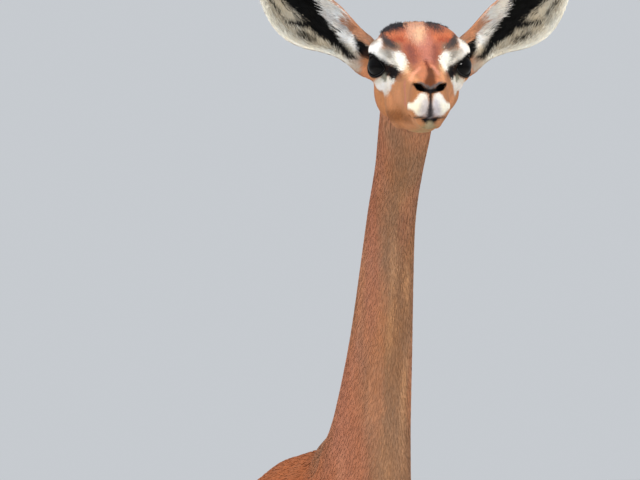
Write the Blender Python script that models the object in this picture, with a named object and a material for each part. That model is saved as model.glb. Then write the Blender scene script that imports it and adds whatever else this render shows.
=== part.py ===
"""A female gerenuk standing alert with her head turned to the viewer, life size, in metres.

The animal faces -Y, her left side is +X and +Z is up. Trunk, neck, legs and head are lofts and
ellipsoids fused into one flesh, which thin cuts then part into named pieces. Eyes, ears, hooves,
dewclaws and the tail are made on their own and meet that flesh across a gap of 0.3 mm.
"""

import math
import random

import bmesh
import bpy
from mathutils import Matrix, Vector
from mathutils.bvhtree import BVHTree

MM = 0.001
GAP = 0.3 * MM

# Trunk, from the breast to the buttocks: y, top, bottom, half width, height of the widest place,
# and how round the back is (2 is an ellipse, less is a sharper ridge)
TRUNK = (
    (-0.352, 0.812, 0.708, 0.028, 0.758, 2.0),
    (-0.324, 0.880, 0.658, 0.052, 0.748, 2.0),
    (-0.278, 0.912, 0.616, 0.069, 0.737, 1.8),
    (-0.220, 0.925, 0.593, 0.081, 0.725, 1.6),
    (-0.150, 0.931, 0.580, 0.091, 0.720, 1.5),
    (-0.080, 0.918, 0.575, 0.101, 0.725, 1.6),
    (-0.020, 0.895, 0.578, 0.108, 0.733, 1.8),
    (0.060, 0.889, 0.591, 0.111, 0.738, 2.0),
    (0.130, 0.886, 0.611, 0.107, 0.746, 2.1),
    (0.200, 0.886, 0.638, 0.099, 0.755, 2.1),
    (0.270, 0.889, 0.668, 0.092, 0.765, 2.0),
    (0.330, 0.883, 0.695, 0.086, 0.770, 1.9),
    (0.380, 0.865, 0.722, 0.073, 0.780, 1.9),
    (0.415, 0.840, 0.750, 0.048, 0.790, 2.0),
    (0.431, 0.820, 0.775, 0.020, 0.798, 2.0),
)

# Neck, from its root in the chest up to the skull: x, y, z, half width, half depth, turn in degrees
NECK = (
    (0.000, -0.205, 0.740, 0.062, 0.130, 0),
    (0.000, -0.226, 0.800, 0.055, 0.124, 0),
    (0.000, -0.243, 0.852, 0.0490, 0.106, 0),
    (0.000, -0.257, 0.893, 0.0435, 0.086, 0),
    (0.000, -0.2705, 0.925, 0.0385, 0.069, 0),
    (0.000, -0.281, 0.960, 0.0355, 0.0570, 0),
    (0.000, -0.300, 1.035, 0.0308, 0.0438, 0),
    (0.000, -0.317, 1.126, 0.0264, 0.0348, -2),
    (-0.001, -0.329, 1.172, 0.0248, 0.0318, -5),
    (-0.002, -0.348, 1.218, 0.0250, 0.0308, -9),
    (-0.0058, -0.371, 1.262, 0.0286, 0.0335, -14),
    (-0.0122, -0.396, 1.296, 0.0308, 0.0350, -18),
    (-0.018, -0.425, 1.312, 0.0280, 0.0290, -20),
)

# Legs of the left side, from the body down: x, y, z, half width, half depth
FORELEG = (
    (0.054, -0.245, 0.760, 0.036, 0.070),
    (0.060, -0.238, 0.690, 0.037, 0.066),
    (0.066, -0.235, 0.630, 0.033, 0.056),
    (0.068, -0.237, 0.578, 0.0285, 0.0420),
    (0.066, -0.245, 0.520, 0.0240, 0.0315),
    (0.063, -0.252, 0.450, 0.0200, 0.0245),
    (0.060, -0.256, 0.390, 0.0168, 0.0202),
    (0.0585, -0.259, 0.350, 0.0192, 0.0230),
    (0.0575, -0.256, 0.314, 0.0154, 0.0180),
    (0.056, -0.252, 0.250, 0.0122, 0.0148),
    (0.055, -0.249, 0.170, 0.0119, 0.0145),
    (0.054, -0.248, 0.125, 0.0134, 0.0168),
    (0.054, -0.251, 0.100, 0.0156, 0.0197),
    (0.054, -0.260, 0.076, 0.0145, 0.0168),
    (0.054, -0.272, 0.052, 0.0146, 0.0162),
    (0.054, -0.285, 0.030, 0.0178, 0.0200),
    (0.054, -0.292, 0.016, 0.0182, 0.0210),
)
HIND_LEG = (
    (0.043, 0.328, 0.800, 0.033, 0.074),
    (0.060, 0.306, 0.740, 0.050, 0.119),
    (0.067, 0.283, 0.680, 0.045, 0.102),
    (0.068, 0.274, 0.620, 0.0370, 0.075),
    (0.065, 0.290, 0.560, 0.0285, 0.050),
    (0.061, 0.322, 0.500, 0.0215, 0.0345),
    (0.058, 0.352, 0.445, 0.0172, 0.0250),
    (0.055, 0.383, 0.390, 0.0176, 0.0258),
    (0.054, 0.391, 0.350, 0.0160, 0.0205),
    (0.053, 0.392, 0.300, 0.0130, 0.0172),
    (0.052, 0.386, 0.220, 0.0122, 0.0152),
    (0.052, 0.381, 0.150, 0.0126, 0.0156),
    (0.052, 0.377, 0.105, 0.0156, 0.0197),
    (0.052, 0.367, 0.079, 0.0145, 0.0168),
    (0.052, 0.354, 0.054, 0.0146, 0.0162),
    (0.052, 0.340, 0.030, 0.0178, 0.0200),
    (0.052, 0.333, 0.016, 0.0182, 0.0210),
)
UPPER_ROWS = 6
FORE_PIVOT = 0.60
HIND_PIVOT = 0.66
STEPS = {"left_fore": -0.018, "right_fore": 0.020, "left_hind": 0.030, "right_hind": -0.022}

# Muscles of the left side: centre, radii, tilt about X in degrees
MUSCLES = (
    ((0.047, -0.240, 0.778), (0.032, 0.060, 0.125), -26),
    ((0.042, -0.293, 0.724), (0.033, 0.038, 0.058), 0),
    ((0.060, -0.222, 0.680), (0.034, 0.068, 0.080), 20),
    ((0.050, 0.350, 0.755), (0.044, 0.078, 0.100), 8),
    ((0.060, 0.232, 0.705), (0.042, 0.052, 0.095), -10),
)
BREAST = ((0.0, -0.303, 0.716), (0.046, 0.042, 0.078), 0)
CORD = (
    (0.0630, 0.3020, 0.675, 0.0320, 0.0560),
    (0.0630, 0.3220, 0.610, 0.0250, 0.0360),
    (0.0600, 0.3450, 0.545, 0.0150, 0.0200),
    (0.0575, 0.3720, 0.475, 0.0085, 0.0095),
    (0.0555, 0.3980, 0.415, 0.0078, 0.0085),
    (0.0550, 0.4070, 0.390, 0.0092, 0.0098),
    (0.0545, 0.4050, 0.362, 0.0082, 0.0080),
    (0.0540, 0.3980, 0.325, 0.0070, 0.0070),
)

# Head: its own frame has its origin midway between the eyes, with forward, left and up in millimetres
EYE_MIDDLE = Vector((-0.0395, -0.475, 1.318))
HEAD_TURN = math.radians(-21.3)
HEAD_RAISE = math.radians(2.5)
# Upper jaw and face: forward, top, bottom, half width
FACE = (
    (-45, 37, -34, 33),
    (-15, 31, -42, 38),
    (12, 23, -48, 36),
    (36, 12.5, -53, 31),
    (62, 3, -56.5, 25.5),
    (88, -5.5, -58, 21.5),
    (110, -12, -58.5, 20.3),
    (128, -17, -58, 19.6),
    (139, -22, -56, 16.5),
    (146, -30, -50, 9.0),
)
# Forehead, from the crown to the bridge of the nose, in the same measures
FOREHEAD = (
    (-84, 24, -12, 17),
    (-66, 40, -12, 32),
    (-38, 47, -10, 41.5),
    (-10, 42, -8, 43.5),
    (10, 31.5, -8, 38.5),
    (26, 21.5, -11, 31.5),
    (40, 12, -13, 24),
    (52, 4.5, -15, 17),
    (62, -3, -17, 9),
)
# Lower jaw: forward, top, bottom, half width
JAW = (
    (-66, -8, -40, 17),
    (-54, -12, -52, 22),
    (-36, -18, -60, 26),
    (-15, -20, -64.5, 28.5),
    (12, -25, -67.5, 25),
    (42, -30, -68, 20),
    (72, -35, -67.5, 16.5),
    (100, -40, -68, 14.5),
    (118, -45, -69, 13.5),
    (129, -48, -67, 10.5),
    (134, -52, -63, 6.0),
)
# Single swellings of the head: forward, left, up, then the radii the same way, then tilt in degrees
HEAD_SINGLE = (
    (-46, 0, 1, 49, 37, 36, 0),
    (-60, 0, -33, 31, 27, 25, 20),
    (119, 0, -61, 15, 12.5, 8.5, 0),
    (137, 0, -31, 9.5, 9, 9, 0),
)
# The same for swellings in pairs: cheek, throat side, brow, lids, eye corner, nostril, lip
HEAD_PAIRS = (
    (2, 20.5, -32, 38, 15.5, 31, -8),
    (-46, 24.5, -21, 29, 19, 29.5, 10),
    (-6, 33, 16, 28, 18.5, 14.0, -12),
    (-2, 34.8, 1, 19.1, 19.1, 19.1, 0),
    (-14, 27, -3, 32, 20, 24, 0),
    (134, 9.3, -26.5, 11.5, 8.5, 7.8, -25),
    (121, 11, -46.5, 23, 10.6, 13, -6),
)
EYE_RADIUS = 17.0
EYE_SEAT = (-2, 34.8, 1)
EYE_OUTWARD = math.radians(59)
LID_LENGTH = 19.5
LID_UPPER = 6.8
LID_LOWER = 11.2
LID_TILT = math.radians(21)
NOSTRIL = ((142, 10.6, -28.8), (9.0, 6.3, 3.5), 30)
TEAR_PIT = ((33, 31.5, -9.0), (11.0, 4.2, 3.6))
MOUTH_LINE = ((70, -52.5), (88, -55.5), (106, -58.0), (122, -59.0), (134, -58.5), (142, -57.5))
MOUTH_RADIUS = 1.1
JAW_CUT = ((160, -58.5), (122, -59.0), (88, -55.5), (62, -51.0), (10, -49.0), (-12, -95.0))

# Ear: root in the head's frame, then along its length in millimetres the width, cup depth and bow
EAR_ROOT = (-52, 49, 11)
EAR_TIP = (-74, 171, 124)
EAR = (
    (0, 38, 14, 0),
    (12, 36.5, 18, 0.5),
    (24, 38, 21, -0.8),
    (38, 45, 22.5, -3),
    (55, 56, 22, -7),
    (71, 60.5, 20, -10),
    (87, 60, 17.5, -11),
    (103, 54, 14.5, -10),
    (118, 44.5, 11, -7.5),
    (133, 32, 8, -4.8),
    (149, 18, 5, -2),
    (160, 7.5, 3, -0.5),
    (166.5, 2.2, 1.2, 0),
)
EAR_FRONT = 12.5
EAR_WALL = (2.5, 1.3)
EAR_CUP = (8, 42)

TAIL = (
    (0.0, 0.385, 0.842, 0.0250, 0.0210),
    (0.0, 0.422, 0.842, 0.0175, 0.0155),
    (0.0, 0.453, 0.822, 0.0122, 0.0112),
    (0.0, 0.467, 0.778, 0.0095, 0.0085),
    (0.0, 0.470, 0.730, 0.0080, 0.0070),
    (0.0, 0.470, 0.680, 0.0068, 0.0060),
    (0.0, 0.469, 0.622, 0.0056, 0.0050),
    (0.0, 0.468, 0.592, 0.0030, 0.0030),
)
TAIL_CUT = (0.0, 0.4572, 0.8110)
TUFT_TOP = (0.0, 0.469, 0.700)
TUFT_LOCKS = 11
TUFT_LENGTH = (0.055, 0.105)

HOOF_HEIGHT = 0.026
HOOF_LENGTH = 0.052
HOOF_WIDTH = 0.0175
HOOF_SPACING = 0.0104
DEWCLAW = (0.0050, 0.0046, 0.0105)

TRUNK_TRIANGLES = 4500
HEAD_TRIANGLES = 3300

COLOURS = {
    "coat": ((0.42, 0.17, 0.085), 0.75),
    "ear": ((0.55, 0.36, 0.25), 0.8),
    "eye": ((0.012, 0.008, 0.007), 0.08),
    "horn": ((0.03, 0.026, 0.024), 0.45),
    "tuft": ((0.02, 0.016, 0.014), 0.7),
}


def material(name):
    """The plain finish of that name, made once."""
    found = bpy.data.materials.get(name)
    if found:
        return found
    colour, roughness = COLOURS[name]
    made = bpy.data.materials.new(name)
    made.use_nodes = True
    shader = made.node_tree.nodes["Principled BSDF"]
    shader.inputs["Base Color"].default_value = (*colour, 1)
    shader.inputs["Roughness"].default_value = roughness
    shader.inputs["Metallic"].default_value = 0.0
    made.diffuse_color = (*colour, 1)
    return made


def new_object(name, work, finish="coat"):
    """An object from a bmesh, with its faces pointing out."""
    bmesh.ops.recalc_face_normals(work, faces=work.faces)
    mesh = bpy.data.meshes.new(name)
    work.to_mesh(mesh)
    work.free()
    made = bpy.data.objects.new(name, mesh)
    mesh.materials.append(material(finish))
    bpy.context.scene.collection.objects.link(made)
    return made


def smooth_rows(rows, steps, along=3):
    """The rows filled in by a smooth curve through each of them, by their first columns' distance."""
    gaps = [math.dist(a[:along], b[:along]) for a, b in zip(rows, rows[1:])]
    slopes = []
    for i in range(len(rows)):
        low, high = max(i - 1, 0), min(i + 1, len(rows) - 1)
        run = sum(gaps[low:high])
        slopes.append([(b - a) / run for a, b in zip(rows[low], rows[high])])
    filled = []
    for i, gap in enumerate(gaps):
        for step in range(steps):
            t = step / steps
            start, leave = 2 * t**3 - 3 * t**2 + 1, t**3 - 2 * t**2 + t
            end, arrive = 3 * t**2 - 2 * t**3, t**3 - t**2
            filled.append(
                [
                    start * a + leave * gap * da + end * b + arrive * gap * db
                    for a, da, b, db in zip(rows[i], slopes[i], rows[i + 1], slopes[i + 1])
                ]
            )
    filled.append(list(rows[-1]))
    return filled


def loft(name, rings, finish="coat"):
    """A closed tube through rings that have the same number of points, with a fan over each end."""
    work = bmesh.new()
    made = [[work.verts.new(point) for point in ring] for ring in rings]
    for one, two in zip(made, made[1:]):
        for i in range(len(one)):
            j = (i + 1) % len(one)
            work.faces.new((one[i], one[j], two[j], two[i]))
    for ring in (made[0], made[-1]):
        middle = work.verts.new(sum((v.co for v in ring), Vector()) / len(ring))
        for i in range(len(ring)):
            work.faces.new((ring[i], ring[(i + 1) % len(ring)], middle))
    return new_object(name, work, finish)


def signed_power(value, power):
    return math.copysign(abs(value) ** power, value)


def oval(centre, side, rise, half_side, half_rise, sides, roundness=2.0):
    """A ring round a centre; roundness 2 is an ellipse and more is boxier."""
    ring = []
    for i in range(sides):
        angle = 2 * math.pi * i / sides
        across = signed_power(math.cos(angle), 2 / roundness) * half_side
        along = signed_power(math.sin(angle), 2 / roundness) * half_rise
        ring.append(centre + side * across + rise * along)
    return ring


def tube(name, rows, sides=20, steps=4, roundness=2.0, finish="coat"):
    """A limb-like loft. A row is x, y, z, half width, half depth and, if it turns, degrees about Z."""
    filled = smooth_rows(rows, steps)
    places = [Vector(row[:3]) for row in filled]
    rings = []
    for i, row in enumerate(filled):
        way = (places[min(i + 1, len(places) - 1)] - places[max(i - 1, 0)]).normalized()
        turn = math.radians(row[5]) if len(row) > 5 else 0.0
        side = Vector((math.cos(turn), math.sin(turn), 0))
        side = (side - way * side.dot(way)).normalized()
        rings.append(oval(places[i], side, way.cross(side), row[3], row[4], sides, roundness))
    return loft(name, rings, finish)


def ball(name, centre, radii, turn=None, segments=24, finish="coat"):
    """An ellipsoid, turned about its centre."""
    work = bmesh.new()
    bmesh.ops.create_uvsphere(work, u_segments=segments, v_segments=segments * 2 // 3, radius=1)
    place = Matrix.Translation(centre) @ (turn or Matrix.Identity(4)) @ Matrix.Diagonal((*radii, 1))
    bmesh.ops.transform(work, matrix=place, verts=work.verts)
    return new_object(name, work, finish)


def box(name, centre, size, turn=None):
    """A block, turned about its centre."""
    work = bmesh.new()
    bmesh.ops.create_cube(work, size=1)
    place = Matrix.Translation(centre) @ (turn or Matrix.Identity(4)) @ Matrix.Diagonal((*size, 1))
    bmesh.ops.transform(work, matrix=place, verts=work.verts)
    return new_object(name, work)


def tilt(degrees, axis="X"):
    return Matrix.Rotation(math.radians(degrees), 4, axis)


def settle(obj):
    """Applies all of an object's modifiers."""
    graph = bpy.context.evaluated_depsgraph_get()
    graph.update()
    mesh = bpy.data.meshes.new_from_object(obj.evaluated_get(graph))
    obj.modifiers.clear()
    old, obj.data = obj.data, mesh
    bpy.data.meshes.remove(old)
    return obj


def discard(objects):
    for obj in list(objects):
        bpy.data.objects.remove(obj)


def join(name, pieces):
    """The pieces as one object, still overlapping."""
    work = bmesh.new()
    for piece in pieces:
        start = len(work.verts)
        work.from_mesh(piece.data)
        work.verts.ensure_lookup_table()
        bmesh.ops.transform(work, matrix=piece.matrix_world, verts=work.verts[start:])
    finish = pieces[0].data.materials[0].name
    discard(pieces)
    return new_object(name, work, finish)


def fuse(name, pieces, voxel, passes):
    """One closed skin round overlapping pieces, with the creases between them eased."""
    whole = join(name, pieces)
    skin = whole.modifiers.new("skin", "REMESH")
    skin.mode = "VOXEL"
    skin.voxel_size = voxel
    ease = whole.modifiers.new("ease", "SMOOTH")
    ease.factor = 0.5
    ease.iterations = passes
    return settle(whole)


def thin_out(obj, triangles):
    """Fewer faces, where they matter least."""
    obj.data.calc_loop_triangles()
    fewer = obj.modifiers.new("fewer", "DECIMATE")
    fewer.ratio = min(1.0, triangles / len(obj.data.loop_triangles))
    fewer.use_collapse_triangulate = True
    return settle(obj)


def combine(obj, others, operation, solver="EXACT"):
    """Cuts the others from an object, or unites them with it, all at once."""
    group = bpy.data.collections.new("operands")
    bpy.context.scene.collection.children.link(group)
    for other in others:
        group.objects.link(other)
    change = obj.modifiers.new("change", "BOOLEAN")
    change.operation = operation
    change.operand_type = "COLLECTION"
    change.collection = group
    change.solver = solver
    settle(obj)
    discard(others)
    bpy.data.collections.remove(group)
    return obj


def islands(obj):
    """The object's separate closed surfaces, each a list of faces of a bmesh that is returned too."""
    work = bmesh.new()
    work.from_mesh(obj.data)
    seen, found = set(), []
    for seed in work.faces:
        if seed in seen:
            continue
        seen.add(seed)
        group, queue = [], [seed]
        while queue:
            face = queue.pop()
            group.append(face)
            for edge in face.edges:
                for near in edge.link_faces:
                    if near not in seen:
                        seen.add(near)
                        queue.append(near)
        found.append(group)
    return work, found


def split(obj, places):
    """Splits an object at its cuts. places names each piece by a point near its middle."""
    work, found = islands(obj)
    largest = {}
    for group in found:
        points = {v for face in group for v in face.verts}
        middle = sum((v.co for v in points), Vector()) / len(points)
        name = min(places, key=lambda word: (Vector(places[word]) - middle).length)
        if len(group) > len(largest.get(name, ())):
            largest[name] = group
    made = {}
    for name, group in largest.items():
        piece = bmesh.new()
        copies = {}
        for face in group:
            for vert in face.verts:
                if vert not in copies:
                    copies[vert] = piece.verts.new(vert.co)
            piece.faces.new([copies[vert] for vert in face.verts])
        made[name] = new_object(name, piece)
    work.free()
    discard([obj])
    for name, piece in made.items():
        piece.name = name
    return made


def keep_largest(obj):
    """Drops everything but the largest closed surface."""
    work, found = islands(obj)
    found.sort(key=len, reverse=True)
    bmesh.ops.delete(work, geom=[f for group in found[1:] for f in group], context="FACES")
    work.to_mesh(obj.data)
    work.free()
    return obj


def in_head(forward, left, up):
    """A place in the head's frame, given in millimetres."""
    return HEAD @ Vector((left * MM, -forward * MM, up * MM))


HEAD = (
    Matrix.Translation(EYE_MIDDLE)
    @ Matrix.Rotation(HEAD_TURN, 4, "Z")
    @ Matrix.Rotation(-HEAD_RAISE, 4, "X")
)
HEAD_ROTATION = HEAD.to_3x3()


def head_way(forward, left, up):
    """A direction in the head's frame."""
    return (HEAD_ROTATION @ Vector((left, -forward, up))).normalized()


def trunk():
    """The barrel of the body, with a ridged back at the withers."""
    rings = []
    for y, top, bottom, half, widest, ridge in smooth_rows(TRUNK, 3, along=1):
        ring = []
        for i in range(32):
            angle = 2 * math.pi * i / 32
            rise = math.sin(angle)
            power = 2 / ridge if rise > 0 else 2 / 2.2
            height = (top - widest if rise > 0 else widest - bottom) * signed_power(rise, power)
            across = half * signed_power(math.cos(angle), 2 / (ridge if rise > 0 else 2.2))
            ring.append(Vector((across, y, widest + height)))
        rings.append(ring)
    return loft("trunk", rings)


def mirrored(value, side):
    return (value[0] * side, *value[1:])


def leg(name, rows, side, step, pivot):
    """One leg. A step moves the foot along Y, and the leg leans to it from the pivot's height."""
    placed = []
    for row in rows:
        shift = step * max(0.0, 1 - row[2] / pivot)
        placed.append((row[0] * side, row[1] + shift, *row[2:]))
    return tube(name, placed, sides=18)


def legs(count=None):
    """The four legs with their hamstring cords and points of hock, or only their upper rows."""
    made = []
    for name, step in STEPS.items():
        side = 1 if name.startswith("left") else -1
        fore = name.endswith("fore")
        pivot = FORE_PIVOT if fore else HIND_PIVOT
        made.append(leg(name, (FORELEG if fore else HIND_LEG)[:count], side, step, pivot))
        if not fore:
            made.append(leg(name + "_cord", CORD[:4] if count else CORD, side, step, pivot))
    return made


def body_flesh():
    """Trunk, muscles, neck and legs as one closed surface."""
    pieces = [trunk(), tube("neck", NECK[:4], sides=28)]
    for side in (1, -1):
        for i, (centre, radii, lean) in enumerate(MUSCLES):
            pieces.append(ball(f"muscle{i}", mirrored(centre, side), radii, tilt(lean)))
    pieces.append(ball("breast", BREAST[0], BREAST[1], tilt(BREAST[2])))
    pieces += legs(UPPER_ROWS)
    mass = fuse("mass", pieces, 0.0060, 24)
    whole = fuse("whole", [mass, tube("neck", NECK, sides=28), tube("dock", TAIL, sides=16)], 0.0045, 12)
    return fuse("body", [whole, *legs()], 0.0036, 3)


def head_section(name, rows, roundness):
    """A loft along the head from rows of forward, top, bottom and half width."""
    rings = []
    for forward, top, bottom, half in smooth_rows(rows, 4, along=1):
        centre = Vector((0, -forward * MM, (top + bottom) / 2 * MM))
        ring = oval(
            centre,
            Vector((1, 0, 0)),
            Vector((0, 0, 1)),
            half * MM,
            (top - bottom) / 2 * MM,
            28,
            roundness,
        )
        rings.append([HEAD @ point for point in ring])
    return loft(name, rings)


def head_ball(name, row, side=1, segments=24):
    """A swelling of the head, given in its frame."""
    forward, left, up, along, across, high, lean = row
    place = in_head(forward, left * side, up)
    turn = HEAD_ROTATION.to_4x4() @ tilt(-lean)
    return ball(name, place, (across * MM, along * MM, high * MM), turn, segments)


def ear_axes(side):
    """The ear's root and its length, width and opening directions."""
    root = in_head(EAR_ROOT[0], EAR_ROOT[1] * side, EAR_ROOT[2])
    tip = in_head(EAR_TIP[0], EAR_TIP[1] * side, EAR_TIP[2])
    length = (tip - root).normalized()
    opening = head_way(1.0, 0.12 * side, -0.05)
    opening = (opening - length * opening.dot(length)).normalized()
    width = opening.cross(length).normalized() * side
    return root, length, width, opening


def ear_ring(side, row, points=9):
    """One closed ring of the ear: the back of the ear, and then the inside of its cup."""
    root, length, width, opening = ear_axes(side)
    along, wide, deep, bow = row
    share = min(1.0, max(0.0, (along - EAR_CUP[0]) / (EAR_CUP[1] - EAR_CUP[0])))
    share = share * share * (3 - 2 * share)
    wall = EAR_WALL[0] + (EAR_WALL[1] - EAR_WALL[0]) * along / EAR[-1][0]
    wall = min(wall, wide * 0.3, deep * 0.6)
    centre = root + length * (along * MM + GAP / 2) + width * bow * MM
    ring = []
    for i in range(points):
        angle = math.pi * i / (points - 1)
        out = -deep * math.sin(angle)
        ring.append(centre + (width * (wide / 2 * math.cos(angle)) + opening * out) * MM)
    for i in range(1, points - 1):
        angle = math.pi * (points - 1 - i) / (points - 1)
        hollow = -(deep - wall) * math.sin(angle)
        front = EAR_FRONT * math.sin(angle)
        out = front + (hollow - front) * share
        half = wide / 2 - wall * share
        ring.append(centre + (width * (half * math.cos(angle)) + opening * out) * MM)
    return ring


def ear(side, name):
    rings = [ear_ring(side, row) for row in smooth_rows(EAR, 2, along=1)]
    return loft(name, rings, "ear")


def ear_stump(side):
    """The part of the head that the ear grows from, a little too long until it is cut flat."""
    root, length, width, opening = ear_axes(side)
    inner = in_head(-46, 22 * side, -4)
    middle = EAR_FRONT - EAR[0][2]
    rings = []
    for share, size in ((0.0, 0.9), (0.45, 1.0), (0.8, 1.03), (1.0, 1.0), (1.25, 1.0)):
        centre = inner.lerp(root, share) + opening * (middle / 2 * MM)
        half_wide = EAR[0][1] / 2 * size * MM
        half_thick = (EAR_FRONT + EAR[0][2]) / 2 * size * MM
        rings.append(oval(centre, width, opening, half_wide, half_thick, 24))
    return loft("stump", rings)


def ear_end(side):
    """A cutter that leaves the stump flat, half a gap short of the ear's root."""
    root, length, width, opening = ear_axes(side)
    middle = opening * ((EAR_FRONT - EAR[0][2]) / 2 * MM)
    half_wide = EAR[0][1] / 2 * 1.18 * MM
    half_thick = (EAR_FRONT + EAR[0][2]) / 2 * 1.25 * MM
    rings = []
    for reach in (-GAP / 2, 0.016):
        rings.append(oval(root + length * reach + middle, width, opening, half_wide, half_thick, 24))
    return loft("ear_end", rings)


def eye_axes(side):
    """The eye's centre, its outward direction, the way to its front corner and its upward one."""
    centre = in_head(EYE_SEAT[0], EYE_SEAT[1] * side, EYE_SEAT[2])
    outward = head_way(math.cos(EYE_OUTWARD), math.sin(EYE_OUTWARD) * side, 0.06)
    level = head_way(math.sin(EYE_OUTWARD), -math.cos(EYE_OUTWARD) * side, 0.0)
    level = (level - outward * level.dot(outward)).normalized()
    up = head_way(0, 0, 1)
    up = (up - outward * up.dot(outward)).normalized()
    corner = level * math.cos(LID_TILT) - up * math.sin(LID_TILT)
    rise = up * math.cos(LID_TILT) + level * math.sin(LID_TILT)
    return centre, outward, corner, rise


def lid_opening(side):
    """A cutter that opens the lids over the eyeball, in the shape of an almond."""
    centre, outward, corner, rise = eye_axes(side)
    reach = math.sqrt(EYE_RADIUS**2 - LID_LOWER**2)
    rings = []
    for distance in (reach * 0.45, reach * 2.0):
        size = distance / reach
        ring = []
        for i in range(20):
            angle = 2 * math.pi * i / 20
            along = math.cos(angle) * LID_LENGTH
            high = signed_power(math.sin(angle), 1.3) * (LID_UPPER if angle < math.pi else LID_LOWER)
            pinch = 1 - 0.12 * math.cos(angle)
            spread = (corner * along + rise * high * pinch) * size
            ring.append(centre + (outward * distance + spread) * MM)
        rings.append(ring)
    return loft("opening", rings)


def mouth_cutter(head):
    """A thin round groove that follows the surface of the head along the line of the mouth."""
    tree = BVHTree.FromPolygons(
        [v.co for v in head.data.vertices], [p.vertices[:] for p in head.data.polygons]
    )
    line = smooth_rows(MOUTH_LINE, 3, along=2)
    places = []
    for forward, up in line:
        origin = in_head(forward, 60, up)
        hit = tree.ray_cast(origin, -head_way(0, 1, 0))[0]
        places.append(HEAD.inverted() @ (hit or in_head(forward, 0, up)))
    front = [place for place in places if place.x > 2 * MM]
    tip = tree.ray_cast(in_head(180, 0, line[-1][1]), -head_way(1, 0, 0))[0]
    other = [Vector((-p.x, p.y, p.z)) for p in reversed(front)]
    route = [HEAD @ p for p in front] + [tip] + [HEAD @ p for p in other]
    radius = MOUTH_RADIUS * MM
    return tube("mouth", [(*p, radius, radius) for p in route], sides=8, steps=1)


def jaw_blade():
    """A thin folded plate that parts the lower jaw from the head."""
    rings = []
    for i, (forward, up) in enumerate(JAW_CUT):
        before, after = JAW_CUT[max(i - 1, 0)], JAW_CUT[min(i + 1, len(JAW_CUT) - 1)]
        run, climb = after[0] - before[0], after[1] - before[1]
        size = math.hypot(run, climb)
        off_f, off_u = -climb / size * GAP / 2 / MM, run / size * GAP / 2 / MM
        rings.append(
            [
                in_head(forward + off_f * way, left, up + off_u * way)
                for left, way in ((-60, -1), (60, -1), (60, 1), (-60, 1))
            ]
        )
    return loft("blade", rings)


def head_flesh():
    """Skull, face, jaws and ear stumps as one closed surface."""
    pieces = [
        head_section("face", FACE, 2.25),
        head_section("forehead", FOREHEAD, 2.45),
        head_section("jaw", JAW, 2.2),
        tube("throat", NECK[-5:], sides=28),
    ]
    pieces += [head_ball(f"single{i}", row) for i, row in enumerate(HEAD_SINGLE)]
    for side in (1, -1):
        pieces += [head_ball(f"pair{i}", row, side) for i, row in enumerate(HEAD_PAIRS)]
        pieces.append(ear_stump(side))
    return fuse("skull", pieces, 0.0018, 14)


def head_cut():
    """A point and a direction for the plane between head and neck."""
    return in_head(-78, 0, -52), head_way(-0.62, 0, -0.78)


def beyond(name, point, way, size):
    """A block whose near face lies on a plane, for cutting off what is beyond it."""
    turn = way.to_track_quat("Z", "Y").to_matrix().to_4x4()
    return box(name, point + way * size / 2, (size, size, size), turn)


def head():
    """The head with its eye sockets, lids, nostrils, mouth line and flat ear stumps, and the jaw."""
    flesh = thin_out(head_flesh(), HEAD_TRIANGLES)
    cutters = [mouth_cutter(flesh)]
    point, way = head_cut()
    cutters.append(beyond("below", point - way * GAP / 2, way, 0.4))
    for side in (1, -1):
        centre, _, _, _ = eye_axes(side)
        socket = EYE_RADIUS * MM + GAP
        cutters.append(ball("socket", centre, (socket,) * 3, HEAD_ROTATION.to_4x4(), 16))
        cutters.append(lid_opening(side))
        place, radii, lean = NOSTRIL
        turn = HEAD_ROTATION.to_4x4() @ tilt(side * 22, "Z") @ tilt(-side * lean, "Y")
        at = in_head(place[0], place[1] * side, place[2])
        size = (radii[1] * MM, radii[0] * MM, radii[2] * MM)
        cutters.append(ball("nostril", at, size, turn, 14))
        place, radii = TEAR_PIT
        turn = HEAD_ROTATION.to_4x4() @ tilt(-side * 28, "Z") @ tilt(8)
        at = in_head(place[0], place[1] * side, place[2])
        size = (radii[1] * MM, radii[0] * MM, radii[2] * MM)
        cutters.append(ball("pit", at, size, turn, 12))
        cutters.append(ear_end(side))
    cutters.append(jaw_blade())
    combine(flesh, cutters, "DIFFERENCE")
    places = {"head": in_head(20, 0, -5), "lower_jaw": in_head(60, 0, -64)}
    return split(flesh, places)


def cut_plate(centre, way, size):
    """A plate as thick as the gap between two pieces."""
    turn = Vector(way).to_track_quat("Z", "Y").to_matrix().to_4x4()
    return box("plate", Vector(centre), (size[0], size[1], GAP), turn)


def leg_cuts():
    """Plates across each leg, and the name and middle of each length between them."""
    plates, places = [], {}
    for name, step in STEPS.items():
        side = 1 if name.startswith("left") else -1
        fore = name.endswith("fore")
        rows = FORELEG if fore else HIND_LEG
        pivot = FORE_PIVOT if fore else HIND_PIVOT
        heights = (0.552, 0.322, 0.118) if fore else (0.600, 0.352, 0.122)
        words = ("forearm", "cannon", "foot") if fore else ("gaskin", "cannon", "foot")
        size = (0.13, 0.24) if fore else (0.13, 0.26)
        for i, z in enumerate(heights):
            x, y = row_at(rows, z)
            y += step * max(0.0, 1 - z / pivot)
            width = size if i == 0 else (0.09, 0.09)
            plates.append(cut_plate((x * side, y, z), (0, 0, 1), width))
            low = heights[i + 1] if i < 2 else HOOF_HEIGHT
            z = (z + low) / 2
            x, y = row_at(rows, z)
            y += step * max(0.0, 1 - z / pivot)
            places[f"{name}_{words[i]}"] = (x * side, y, z)
    return plates, places


def row_at(rows, z):
    """Where a leg's middle line passes a height."""
    for high, low in zip(rows, rows[1:]):
        if low[2] <= z <= high[2]:
            share = (high[2] - z) / (high[2] - low[2])
            return tuple(a + (b - a) * share for a, b in zip(high[:2], low[:2]))
    return rows[-1][:2]


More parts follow.
